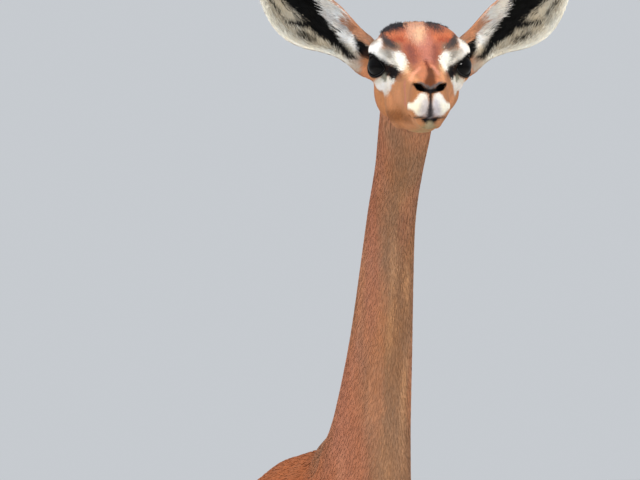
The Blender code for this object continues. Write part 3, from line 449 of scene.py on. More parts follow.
# Hair of the crown: forward and left from and to, count, length, colour
CROWN_HAIR = (
    ((-46, -12), (-36, -16), 330, 7, (60, 59, 63)),
    ((-46, -20), (9, 30), 220, 5.5, (60, 57, 60)),
    ((-56, -30), (-15, 8), 240, 5, (110, 80, 64)),
    ((-30, -4), (-15, 7), 220, 5, (226, 168, 136)),
)
LASHES, LASH_LENGTH = 60, 0.0062
TAIL_LOCKS, TUFT_REACH = 230, 0.170
CORONET_HAIRS = 260
EYE_RINGS, EYE_SIDES, CLAW_RINGS = 56, 72, 14
CAMERA_DISTANCE, FRAME_WIDTH = 12.0, 0.640
# Lamps: name, then right, towards the camera and up from the head, size, power, colour
LIGHTS = (
    ("key", 2.80, 3.0, 0.93, 0.40, 56, (1.0, 0.97, 0.92)),
    ("fill", -2.6, 2.6, 0.4, 2.0, 50, (0.97, 0.98, 1.0)),
    ("top", 0.3, 1.6, 3.0, 1.8, 56, (1.0, 0.99, 0.96)),
    ("left", -3.0, -0.6, 0.6, 1.2, 52, (1.0, 0.97, 0.93)),
    ("right", 3.0, -0.6, 0.6, 1.2, 32, (1.0, 0.97, 0.93)),
)
WORLD_LIGHT = 0.66


def smooth_rows(rows, steps, along=3):
    """The rows filled in by a smooth curve through each of them, by their first columns' distance."""
    gaps = [math.dist(a[:along], b[:along]) for a, b in zip(rows, rows[1:])]
    slopes = []
    for i in range(len(rows)):
        low, high = max(i - 1, 0), min(i + 1, len(rows) - 1)
        run = sum(gaps[low:high])
        slopes.append([(b - a) / run for a, b in zip(rows[low], rows[high])])
    filled = []
    for i, gap in enumerate(gaps):
        for step in range(steps):
            t = step / steps
            start, leave = 2 * t**3 - 3 * t**2 + 1, t**3 - 2 * t**2 + t
            end, arrive = 3 * t**2 - 2 * t**3, t**3 - t**2
            filled.append(
                [
                    start * a + leave * gap * da + end * b + arrive * gap * db
                    for a, da, b, db in zip(rows[i], slopes[i], rows[i + 1], slopes[i + 1])
                ]
            )
    filled.append(list(rows[-1]))
    return filled


def signed_power(value, power):
    return math.copysign(abs(value) ** power, value)


def oval(centre, side, rise, half_side, half_rise, sides, roundness=2.0):
    """A ring round a centre; roundness 2 is an ellipse and more is boxier."""
    ring = []
    for i in range(sides):
        angle = 2 * math.pi * i / sides
        across = signed_power(math.cos(angle), 2 / roundness) * half_side
        along = signed_power(math.sin(angle), 2 / roundness) * half_rise
        ring.append(centre + side * across + rise * along)
    return ring


def tilt(degrees, axis="X"):
    return Matrix.Rotation(math.radians(degrees), 4, axis)


def settle(obj):
    """Applies all of an object's modifiers."""
    graph = bpy.context.evaluated_depsgraph_get()
    graph.update()
    mesh = bpy.data.meshes.new_from_object(obj.evaluated_get(graph))
    obj.modifiers.clear()
    old, obj.data = obj.data, mesh
    bpy.data.meshes.remove(old)
    return obj


def discard(objects):
    for obj in list(objects):
        bpy.data.objects.remove(obj)


def in_head(forward, left, up):
    """A place in the head's frame, given in millimetres."""
    return HEAD @ Vector((left * MM, -forward * MM, up * MM))


HEAD = (
    Matrix.Translation(EYE_MIDDLE)
    @ Matrix.Rotation(HEAD_TURN, 4, "Z")
    @ Matrix.Rotation(-HEAD_RAISE, 4, "X")
)
HEAD_ROTATION = HEAD.to_3x3()


def head_way(forward, left, up):
    """A direction in the head's frame."""
    return (HEAD_ROTATION @ Vector((left, -forward, up))).normalized()


def trunk():
    """The barrel of the body, with a ridged back at the withers."""
    rings = []
    for y, top, bottom, half, widest, ridge in smooth_rows(TRUNK, 3, along=1):
        ring = []
        for i in range(32):
            angle = 2 * math.pi * i / 32
            rise = math.sin(angle)
            power = 2 / ridge if rise > 0 else 2 / 2.2
            height = (top - widest if rise > 0 else widest - bottom) * signed_power(rise, power)
            across = half * signed_power(math.cos(angle), 2 / (ridge if rise > 0 else 2.2))
            ring.append(Vector((across, y, widest + height)))
        rings.append(ring)
    return loft("trunk", rings)


def mirrored(value, side):
    return (value[0] * side, *value[1:])


def leg(name, rows, side, step, pivot):
    """One leg. A step moves the foot along Y, and the leg leans to it from the pivot's height."""
    placed = []
    for row in rows:
        shift = step * max(0.0, 1 - row[2] / pivot)
        placed.append((row[0] * side, row[1] + shift, *row[2:]))
    return tube(name, placed, sides=18)


def legs(count=None):
    """The four legs with their hamstring cords and points of hock, or only their upper rows."""
    made = []
    for name, step in STEPS.items():
        side = 1 if name.startswith("left") else -1
        fore = name.endswith("fore")
        pivot = FORE_PIVOT if fore else HIND_PIVOT
        made.append(leg(name, (FORELEG if fore else HIND_LEG)[:count], side, step, pivot))
        if not fore:
            made.append(leg(name + "_cord", CORD[:4] if count else CORD, side, step, pivot))
    return made


def head_section(name, rows, roundness):
    """A loft along the head from rows of forward, top, bottom and half width."""
    rings = []
    for forward, top, bottom, half in smooth_rows(rows, 4, along=1):
        centre = Vector((0, -forward * MM, (top + bottom) / 2 * MM))
        ring = oval(
            centre,
            Vector((1, 0, 0)),
            Vector((0, 0, 1)),
            half * MM,
            (top - bottom) / 2 * MM,
            28,
            roundness,
        )
        rings.append([HEAD @ point for point in ring])
    return loft(name, rings)


def head_ball(name, row, side=1, segments=24):
    """A swelling of the head, given in its frame."""
    forward, left, up, along, across, high, lean = row
    place = in_head(forward, left * side, up)
    turn = HEAD_ROTATION.to_4x4() @ tilt(-lean)
    return ball(name, place, (across * MM, along * MM, high * MM), turn, segments)


def ear_axes(side):
    """The ear's root and its length, width and opening directions."""
    root = in_head(EAR_ROOT[0], EAR_ROOT[1] * side, EAR_ROOT[2])
    tip = in_head(EAR_TIP[0], EAR_TIP[1] * side, EAR_TIP[2])
    length = (tip - root).normalized()
    opening = head_way(1.0, 0.12 * side, -0.05)
    opening = (opening - length * opening.dot(length)).normalized()
    width = opening.cross(length).normalized() * side
    return root, length, width, opening


def eye_axes(side):
    """The eye's centre, its outward direction, the way to its front corner and its upward one."""
    centre = in_head(EYE_SEAT[0], EYE_SEAT[1] * side, EYE_SEAT[2])
    outward = head_way(math.cos(EYE_OUTWARD), math.sin(EYE_OUTWARD) * side, 0.06)
    level = head_way(math.sin(EYE_OUTWARD), -math.cos(EYE_OUTWARD) * side, 0.0)
    level = (level - outward * level.dot(outward)).normalized()
    up = head_way(0, 0, 1)
    up = (up - outward * up.dot(outward)).normalized()
    corner = level * math.cos(LID_TILT) - up * math.sin(LID_TILT)
    rise = up * math.cos(LID_TILT) + level * math.sin(LID_TILT)
    return centre, outward, corner, rise


def mouth_cutter(head):
    """A thin round groove that follows the surface of the head along the line of the mouth."""
    tree = BVHTree.FromPolygons(
        [v.co for v in head.data.vertices], [p.vertices[:] for p in head.data.polygons]
    )
    line = smooth_rows(MOUTH_LINE, 3, along=2)
    places = []
    for forward, up in line:
        origin = in_head(forward, 60, up)
        hit = tree.ray_cast(origin, -head_way(0, 1, 0))[0]
        places.append(HEAD.inverted() @ (hit or in_head(forward, 0, up)))
    front = [place for place in places if place.x > 2 * MM]
    tip = tree.ray_cast(in_head(180, 0, line[-1][1]), -head_way(1, 0, 0))[0]
    other = [Vector((-p.x, p.y, p.z)) for p in reversed(front)]
    route = [HEAD @ p for p in front] + [tip] + [HEAD @ p for p in other]
    radius = MOUTH_RADIUS * MM
    return tube("mouth", [(*p, radius, radius) for p in route], sides=8, steps=1)


def hoof_outline(share, rise):
    """A point of one claw's outline: a blunt heel and a pointed toe, leaning back as it rises."""
    angle = 2 * math.pi * share
    reach = math.cos(angle)
    half = HOOF_WIDTH / 2 * (1 - 0.12 * rise)
    back = HOOF_LENGTH * 0.36
    front = HOOF_LENGTH * (0.64 - 0.40 * rise)
    along = front * reach if reach > 0 else back * reach
    taper = 1 - 0.35 * max(0.0, reach) ** 2
    return half * signed_power(math.sin(angle), 0.75) * taper, -along


def head_cut():
    """A point and a direction for the plane between head and neck."""
    return in_head(-78, 0, -52), head_way(-0.62, 0, -0.78)


def new_object(name, work):
    """An object from a bmesh, with its faces pointing out."""
    bmesh.ops.recalc_face_normals(work, faces=work.faces)
    mesh = bpy.data.meshes.new(name)
    work.to_mesh(mesh)
    work.free()
    made = bpy.data.objects.new(name, mesh)
    bpy.context.scene.collection.objects.link(made)
    return made


def loft(name, rings):
    """A closed tube through rings that have the same number of points, with a fan over each end."""
    work = bmesh.new()
    made = [[work.verts.new(point) for point in ring] for ring in rings]
    for one, two in zip(made, made[1:]):
        for i in range(len(one)):
            j = (i + 1) % len(one)
            work.faces.new((one[i], one[j], two[j], two[i]))
    for ring in (made[0], made[-1]):
        middle = work.verts.new(sum((v.co for v in ring), Vector()) / len(ring))
        for i in range(len(ring)):
            work.faces.new((ring[i], ring[(i + 1) % len(ring)], middle))
    return new_object(name, work)


def tube(name, rows, sides=20, steps=4, roundness=2.0):
    """A limb-like loft. A row is x, y, z, half width, half depth and, if it turns, degrees about Z."""
    filled = smooth_rows(rows, steps)
    places = [Vector(row[:3]) for row in filled]
    rings = []
    for i, row in enumerate(filled):
        way = (places[min(i + 1, len(places) - 1)] - places[max(i - 1, 0)]).normalized()
        turn = math.radians(row[5]) if len(row) > 5 else 0.0
        side = Vector((math.cos(turn), math.sin(turn), 0))
        side = (side - way * side.dot(way)).normalized()
        rings.append(oval(places[i], side, way.cross(side), row[3], row[4], sides, roundness))
    return loft(name, rings)


def ball(name, centre, radii, turn=None, segments=24):
    """An ellipsoid, turned about its centre."""
    work = bmesh.new()
    bmesh.ops.create_uvsphere(work, u_segments=segments, v_segments=segments * 2 // 3, radius=1)
    place = Matrix.Translation(centre) @ (turn or Matrix.Identity(4)) @ Matrix.Diagonal((*radii, 1))
    bmesh.ops.transform(work, matrix=place, verts=work.verts)
    return new_object(name, work)


def fuse(name, pieces, voxel, passes):
    """One closed skin round overlapping pieces, with the creases between them eased."""
    work = bmesh.new()
    for piece in pieces:
        work.from_mesh(piece.data)
    discard(pieces)
    whole = new_object(name, work)
    skin = whole.modifiers.new("skin", "REMESH")
    skin.mode = "VOXEL"
    skin.voxel_size = voxel
    ease = whole.modifiers.new("ease", "SMOOTH")
    ease.factor = 0.5
    ease.iterations = passes
    return settle(whole)


def combine(obj, others, operation, solver="MANIFOLD"):
    """Cuts the others from an object, or unites them with it, all at once."""
    group = bpy.data.collections.new("operands")
    bpy.context.scene.collection.children.link(group)
    for other in others:
        group.objects.link(other)
    change = obj.modifiers.new("change", "BOOLEAN")
    change.operation = operation
    change.operand_type = "COLLECTION"
    change.collection = group
    change.solver = solver
    settle(obj)
    discard(others)
    bpy.data.collections.remove(group)
    return obj


def log(*words):
    print(f"[{time.time() - START:6.1f}s]", *words)


# ---- numbers over many points at once


def vec(value):
    return np.array(tuple(value), float)


def smooth(low, high, value):
    """0 below low, 1 above high and an eased step between them."""
    t = np.clip((value - low) / (high - low), 0, 1)
    return t * t * (3 - 2 * t)


def unit(array):
    return array / np.maximum(np.linalg.norm(array, axis=1, keepdims=True), 1e-12)


def mix(one, two, share):
    return one + (np.asarray(two) - one) * np.asarray(share)[:, None]


def srgb(*colour):
    """Linear values of a colour given from 0 to 255."""
    c = np.array(colour, float) / 255
    return np.where(c <= 0.04045, c / 12.92, ((c + 0.055) / 1.055) ** 2.4)


def mottle(co, size, seed):
    """Smooth noise from -1 to 1 whose patches are as large as size, given for x, y and z."""
    place = co / np.array(size)
    cell = np.floor(place).astype(np.int64)
    t = place - cell
    t = t * t * (3 - 2 * t)
    table = np.random.default_rng(seed).uniform(-1, 1, 4096)
    total = np.zeros(len(co))
    for corner in range(8):
        step = np.array((corner & 1, corner >> 1 & 1, corner >> 2 & 1))
        key = (cell + step) @ np.array((73856093, 19349663, 83492791)) & 4095
        total += table[key] * np.prod(np.where(step, t, 1 - t), axis=1)
    return total


def mesh_points(obj):
    """An object's vertices and their normals."""
    count = len(obj.data.vertices)
    co, normal = np.empty(count * 3, np.float32), np.empty(count * 3, np.float32)
    obj.data.vertices.foreach_get("co", co)
    obj.data.vertex_normals.foreach_get("vector", normal)
    return co.reshape(-1, 3).astype(float), normal.reshape(-1, 3).astype(float)


def put_points(obj, co):
    obj.data.vertices.foreach_set("co", co.astype(np.float32).ravel())
    obj.data.update()


def to_head(co):
    """Forward, left and up in the head's frame, in millimetres."""
    local = (co - vec(EYE_MIDDLE)) @ np.array(HEAD_ROTATION) / MM
    return np.stack((-local[:, 1], local[:, 0], local[:, 2]), axis=1)


def head_dirs(ways):
    """World directions from rows of forward, left and up."""
    local = np.stack((ways[:, 1], -ways[:, 0], ways[:, 2]), axis=1)
    return local @ np.array(HEAD_ROTATION).T


def within(points, path, soft):
    """1 inside a thick line through the path's points, whose last number is its radius, else 0."""
    best = np.full(len(points), -1e9)
    path = [np.array(p, float) for p in path]
    for a, b in zip(path, path[1:] or path):
        run = b[:-1] - a[:-1]
        size = max(float(run @ run), 1e-9)
        t = np.clip((points - a[:-1]) @ run / size, 0, 1)
        gap = np.linalg.norm(points - (a[:-1] + t[:, None] * run), axis=1)
        best = np.maximum(best, a[-1] + (b[-1] - a[-1]) * t - gap)
    return smooth(-soft / 2, soft / 2, best)


def ear_place(co, side):
    """Along the ear, across it (-1 is the lower edge, 1 the upper), the same in mm, and outward."""
    root, length, width, opening = (vec(v) for v in ear_axes(side))
    q = (co - root) / MM
    along, across, out = q @ length, q @ width, q @ opening
    rows = np.array(EAR, float)
    wide = np.interp(along, rows[:, 0], rows[:, 1])
    bow = np.interp(along, rows[:, 0], rows[:, 3])
    share = (across - bow) / (wide / 2)
    near = (along > 0) & (np.abs(share) < 1.35) & (out < 22) & (out > -45)
    return along, share, across, out, near


def regions(co):
    """How far each point belongs to the head, neck, trunk, legs and tail."""
    point, way = head_cut()
    head = smooth(-0.012, 0.012, -(co - vec(point)) @ vec(way.normalized()))
    plane = unit(np.array([[0, -0.52, 0.85]]))[0]
    neck = smooth(-0.03, 0.03, (co - np.array((0, -0.262, 0.88))) @ plane) * (1 - head)
    rest = (1 - head) * (1 - neck)
    tail = smooth(0.432, 0.446, co[:, 1]) * (np.abs(co[:, 0]) < 0.035) * (co[:, 2] > 0.5)
    leg = (1 - smooth(0.50, 0.58, co[:, 2])) * (1 - tail)
    return {
        "head": head,
        "neck": neck,
        "trunk": rest * (1 - tail) * (1 - leg),
        "leg": rest * leg,
        "tail": rest * tail,
    }


def eye_gap(co):
    """Distance in mm to the nearer eyeball's middle, and the place in its lid opening (1 is the edge)."""
    best, ring = np.full(len(co), 1e9), np.full(len(co), 9.0)
    for side in (1, -1):
        centre, outward, corner, rise = (vec(v) for v in eye_axes(side))
        q = (co - centre) / MM
        gap = np.linalg.norm(q, axis=1)
        reach = math.sqrt(EYE_RADIUS**2 - LID_LOWER**2)
        ahead = np.maximum(q @ outward, 1e-3)
        a = (q @ corner) / ahead * reach / LID_LENGTH
        b = (q @ rise) / ahead * reach
        b = b / np.where(b > 0, LID_UPPER, LID_LOWER)
        here = np.where(q @ outward > 1, np.hypot(a, b), 9.0)
        ring = np.where(gap < best, here, ring)
        best = np.minimum(best, gap)
    return best, ring


def coat_sizes(co, normal):
    """Length, half width, depth, lift and cover of the coat at each point, in mm."""
    share = regions(co)
    table = np.zeros((len(co), 5))
    for name, row in COAT.items():
        table += share[name][:, None] * np.array(row)
    length, half, depth, lift, cover = table.T.copy()
    h = to_head(co)
    f, l, u = h.T
    gap, _ = eye_gap(co)
    head = share["head"]
    fine = head * np.maximum(smooth(50, 138, f), 1 - smooth(20, 34, gap))
    length *= 1 - 0.50 * fine
    half *= 1 - 0.38 * fine
    depth *= 1 - 0.50 * fine
    lift *= 1 - 0.45 * fine
    crown = head * smooth(14, 30, u) * (1 - smooth(-4, 30, f)) * (1 - smooth(24, 40, np.abs(l)))
    length *= 1 + 0.6 * crown
    lift *= 1 + 1.6 * crown
    foot = 1 - smooth(0.06, 0.16, co[:, 2])
    length *= 1 - 0.35 * foot
    half *= 1 - 0.30 * foot
    for side in (1, -1):
        along, _, _, _, near = ear_place(co, side)
        ear = near * smooth(0, 12, along)
        length = length + (5.0 - length) * ear
        half = half + (0.42 - half) * ear
        depth = depth + (0.22 - depth) * ear
        lift = lift + (0.50 - lift) * ear
        cover = cover + (1.15 - cover) * ear
    return length, half, depth, lift, cover


# ---- skin


def inset_rows(rows, insets):
    return [(*r[:3], r[3] - i * MM, r[4] - i * MM, *r[5:]) for r, i in zip(rows, insets)]


def ear_stump(side):
    """The part of the head that the ear grows from."""
    root, length, width, opening = ear_axes(side)
    inner = in_head(-46, 22 * side, -4)
    middle = EAR_FRONT - EAR[0][2]
    rings = []
    for share, size in ((0.0, 0.9), (0.45, 1.0), (0.8, 1.02), (0.93, 0.98)):
        centre = inner.lerp(root, share) + opening * (middle / 2 * MM)
        half_wide = EAR[0][1] / 2 * size * MM
        half_thick = (EAR_FRONT + EAR[0][2]) / 2 * size * MM
        rings.append(oval(centre, width, opening, half_wide, half_thick, 24))
    return loft("stump", rings)


def ear_ring(side, row, points):
    """One closed ring of the ear: the back of the ear, and then the inside of its cup."""
    root, length, width, opening = ear_axes(side)
    along, wide, deep, bow = row
    share = min(1.0, max(0.0, (along - EAR_CUP[0]) / (EAR_CUP[1] - EAR_CUP[0])))
    share = share * share * (3 - 2 * share)
    wall = EAR_WALL[0] + (EAR_WALL[1] - EAR_WALL[0]) * max(along, 0) / EAR[-1][0]
    wall = min(wall, wide * 0.3, deep * 0.6)
    centre = root + length * (along * MM) + width * bow * MM
    ring = []
    for i in range(points):
        angle = math.pi * i / (points - 1)
        out = -deep * math.sin(angle)
        ring.append(centre + (width * (wide / 2 * math.cos(angle)) + opening * out) * MM)
    for i in range(1, points - 1):
        angle = math.pi * (points - 1 - i) / (points - 1)
        hollow = -(deep - wall) * math.sin(angle)
        hollow += EAR_RIDGE * share * math.exp(-(((math.cos(angle) + 0.55) / 0.12) ** 2))
        front = EAR_FRONT * math.sin(angle)
        out = front + (hollow - front) * share
        half = wide / 2 - wall * share
        ring.append(centre + (width * (half * math.cos(angle)) + opening * out) * MM)
    return ring


def ear_skin(side):
    rows = smooth_rows(EAR, 7, along=1)
    first = rows[0]
    lead = [(-11, first[1] * 0.90, first[2] * 0.88, 0), (-5, first[1] * 0.96, first[2] * 0.95, 0)]
    return loft("ear", [ear_ring(side, row, 36) for row in lead + rows])


def lid_ring(side, radius, points=56, size=1.0):
    """The edge of the lid opening, as a ring of points on a ball round the eye's middle."""
    centre, outward, corner, rise = eye_axes(side)
    reach = math.sqrt(EYE_RADIUS**2 - LID_LOWER**2)
    ring = []
    for i in range(points):
        angle = 2 * math.pi * i / points
        along = math.cos(angle) * LID_LENGTH
        lid = LID_UPPER if angle < math.pi else LID_LOWER
        high = signed_power(math.sin(angle), 1.3) * lid * (1 - 0.12 * math.cos(angle))
        spread = outward * reach + (corner * along + rise * high) * size
        ring.append(centre + spread.normalized() * radius * MM)
    return ring


def lid_opening(side):
    centre = eye_axes(side)[0]
    near, far = lid_ring(side, 9.0), lid_ring(side, 34.0)
    return loft("opening", [near, far])


def carve(obj):
    """Folds, furrows and swellings of the head, drawn as lines that push its surface in or out."""
    co, normal = mesh_points(obj)
    h = to_head(co)
    mirror = np.stack((h[:, 0], np.abs(h[:, 1]), h[:, 2]), axis=1)
    push = np.zeros(len(co))
    for height, path in FOLDS:
        best = np.full(len(co), 1e9)
        path = [np.array(p, float) for p in path]
        for a, b in zip(path, path[1:] or path):
            run = b[:3] - a[:3]
            t = np.clip((mirror - a[:3]) @ run / max(float(run @ run), 1e-9), 0, 1)
            gap = np.linalg.norm(mirror - (a[:3] + t[:, None] * run), axis=1)
            best = np.minimum(best, gap / (a[3] + (b[3] - a[3]) * t))
        push += height * np.exp(-(best**2))
    put_points(obj, co + normal * (push * MM)[:, None])


def shrink(obj):
    """Draws the surface in by the depth of the coat."""
    co, normal = mesh_points(obj)
    depth = coat_sizes(co, normal)[2]
    put_points(obj, co - normal * (depth * MM)[:, None])


def head_skin():
    pieces = [
        head_section("face", FACE, 2.25),
        head_section("forehead", FOREHEAD, 2.45),
        head_section("jaw", JAW, 2.2),
        tube("throat", inset_rows(NECK[-5:], THROAT_INSET), sides=28),
    ]
    pieces += [head_ball(f"single{i}", row) for i, row in enumerate(HEAD_SINGLE)]
    for side in (1, -1):
        pieces += [head_ball(f"pair{i}", row, side) for i, row in enumerate(HEAD_PAIRS)]
        pieces.append(ear_stump(side))
    head = fuse("head_skin", pieces, HEAD_VOXEL, HEAD_PASSES)
    carve(head)
    shrink(head)
    cutters = [mouth_cutter(head)]
    for side in (1, -1):
        centre = eye_axes(side)[0]
        cutters.append(ball("socket", centre, (SOCKET * MM,) * 3, HEAD_ROTATION.to_4x4(), 40))
        cutters.append(lid_opening(side))
        place, radii, lean = NOSTRIL
        turn = HEAD_ROTATION.to_4x4() @ tilt(side * 22, "Z") @ tilt(-side * lean, "Y")
        at = in_head(place[0], place[1] * side, place[2])
        size = (radii[1] * MM, radii[0] * MM, radii[2] * MM)
        cutters.append(ball("nostril", at, size, turn, 28))
    return combine(head, cutters, "DIFFERENCE")


def body_skin():
    """Trunk, muscles, neck, legs and dock as one surface."""
    pieces = [trunk(), tube("neck", NECK[:4], sides=28)]
    for side in (1, -1):
        for i, (centre, radii, lean) in enumerate(MUSCLES):
            pieces.append(ball(f"muscle{i}", mirrored(centre, side), radii, tilt(lean)))
    pieces.append(ball("breast", BREAST[0], BREAST[1], tilt(BREAST[2])))
    pieces += legs(UPPER_ROWS)
    mass = fuse("mass", pieces, 0.0060, 24)
    neck = tube("neck", inset_rows(NECK, NECK_INSET), sides=36)
    whole = fuse("whole", [mass, neck, tube("dock", TAIL[:4], sides=16)], 0.0045, 12)
    body = fuse("body_skin", [whole, *legs()], 0.0030, 4)
    body.data.calc_loop_triangles()
    fewer = body.modifiers.new("fewer", "DECIMATE")
    fewer.ratio = min(1.0, BODY_TRIANGLES / len(body.data.loop_triangles))
    fewer.use_collapse_triangulate = True
    settle(body)
    shrink(body)
    work = bmesh.new()
    bmesh.ops.create_cube(work, size=1)
    place = Matrix.Translation((0, 0, HOOF_HEIGHT + GAP - 0.1)) @ Matrix.Diagonal((1.0, 1.6, 0.2, 1))
    bmesh.ops.transform(work, matrix=place, verts=work.verts)
    return combine(body, [new_object("floor", work)], "DIFFERENCE")


def ease_seams(obj):
    """Smooths the skin only where the neck meets the head and the ears meet their stumps."""
    co, _ = mesh_points(obj)
    a, b = vec(NECK[-3][:3]), vec(NECK[-2][:3])
    run = b - a
    t = (co - a) @ run / (run @ run)
    off = np.linalg.norm(co - (a + t[:, None] * run), axis=1)
    weight = smooth(-1.1, -0.4, t) * (1 - smooth(1.2, 1.9, t)) * (off < 0.055)
    h = to_head(co)
    weight *= 1 - smooth(-40, -15, h[:, 0])
    for side in (1, -1):
        along, _, _, _, _ = ear_place(co, side)
        root = vec(ear_axes(side)[0])
        close = np.linalg.norm(co - root, axis=1) < 0.036
        weight = np.maximum(weight, close * smooth(-15, -8, along) * (1 - smooth(5, 12, along)))
    ease(obj, weight, 12)


def ease(obj, weight, passes):
    """Smooths an object where the weight of its points is more than 0."""
    group = obj.vertex_groups.new(name="eased")
    for level in range(1, 11):
        chosen = np.nonzero((weight > (level - 1) / 10) & (weight <= level / 10))[0]
        if len(chosen):
            group.add(chosen.tolist(), level / 10, "REPLACE")
    change = obj.modifiers.new("ease", "SMOOTH")
    change.factor = 0.5
    change.iterations = passes
    change.vertex_group = "eased"
    settle(obj)
    obj.vertex_groups.clear()


def fill_out(obj):
    """Raises the skin where the coat is fuller."""
    co, normal = mesh_points(obj)
    raised = co.copy()
    for middle, reach, height in FULLER:
        gap = np.linalg.norm(co - vec(middle), axis=1)
        raised += normal * (height * (1 - smooth(0, reach, gap)))[:, None]
    put_points(obj, raised)


def slim_jaw(head):
    """Draws the low part of her left cheek in a little."""
    co, _ = mesh_points(head)
    f, left, up = to_head(co).T
    share = (1 - smooth(JAW_BELOW[1], JAW_BELOW[0], up)) * (1 - smooth(*JAW_AHEAD, f)) * smooth(8, 24, left)
    inward = head_dirs(np.stack((f * 0, -left * share * JAW_IN, f * 0), axis=1)) * MM
    put_points(head, co + inward)


def make_skin():
    head = head_skin()
    slim_jaw(head)
    log("head", len(head.data.polygons))
    body = body_skin()
    log("body", len(body.data.polygons))
    tail = tube("tail", inset_rows(TAIL, (1.2,) * 6 + (0.8, 0.5)), sides=22, steps=8)
    ears = [ear_skin(side) for side in (1, -1)]
    for ear in ears:
        shrink(ear)
    skin = combine(head, [body, tail, *ears], "UNION")
    skin.name = "skin"
    ease_seams(skin)
    fill_out(skin)
    log("skin", len(skin.data.polygons))
    return skin


# ---- markings, with painted shade and a painted highlight


def head_tint(h, colour):
    """Markings of the head, with painted shade and a painted highlight among them, over its base colour."""
    mirror = np.stack((h[:, 0], np.abs(h[:, 1]), h[:, 2]), axis=1)
    turned = h[:, 1:] + h[:, :1] * np.array(FRONT_VIEW)
    front = np.stack((mirror[:, 1], turned[:, 1]), axis=1)
    ahead = smooth(FACE_FROM - 4, FACE_FROM + 6, h[:, 0])
    for places, marks, share in ((front, FACE_MARKS, ahead), (turned, MIDDLE_MARKS_AND_HIGHLIGHT, ahead), (mirror, HEAD_MARKS_AND_SHADE, 1)):
        for paint, soft, path in marks:
            colour = mix(colour, srgb(*paint), within(places, path, soft) * share)
    fore = smooth(MUZZLE_FROM - 5, MUZZLE_FROM + 5, h[:, 0])
    for paint, soft, path in MUZZLE_MARKS_AND_SHADE:
        colour = mix(colour, srgb(*paint), within(mirror[:, 1:], path, soft) * fore)
    return colour


def ear_tint(along, share, across, inside):
    """The ear's pattern: a black band up the cup, white and orange above it, and cream below."""
    n = len(along)
    cup = np.tile(srgb(*EAR_CREAM), (n, 1))
    cup = mix(cup, srgb(*EAR_WHITE), smooth(-0.15, 0.10, share))
    cup = mix(cup, srgb(*EAR_LOWER_RIM), 1 - smooth(-0.88, -0.70, share))
    cup = mix(cup, srgb(*EAR_DARK_LINE), 0.55 * np.exp(-(((share + 0.72) / 0.05) ** 2)))
    orange = smooth(0.42, 0.60, share) * (1 - smooth(34, 50, along))
    orange = np.maximum(orange, smooth(0.91, 0.97, share) * (1 - smooth(80, 110, along)))
    cup = mix(cup, srgb(*EAR_ORANGE), orange)
    cup = mix(cup, srgb(*EAR_BASE), 1 - smooth(4, 18, along))
    cup = mix(cup, srgb(*EAR_UPPER_RIM), smooth(0.90, 0.97, share) * smooth(60, 100, along))
    rows = np.array(EAR_BAND, float)
    middle = np.interp(along, rows[:, 0], rows[:, 1])
    half = np.interp(along, rows[:, 0], rows[:, 2])
    plane = np.stack((along, across), axis=1)
    dark = smooth(-1.6, 1.2, half - np.abs(across - middle)) * smooth(2, 9, along)
    for path in EAR_BRANCHES:
        dark = np.maximum(dark, within(plane, path, 2.6))
    cup = mix(cup, srgb(*EAR_BLACK), dark * (1 - smooth(148, 160, along)))
    back = np.tile(srgb(*EAR_BACK), (n, 1))
    back = mix(back, srgb(*EAR_TIP_DARK), smooth(120, 160, along))
    return mix(back, cup, inside)


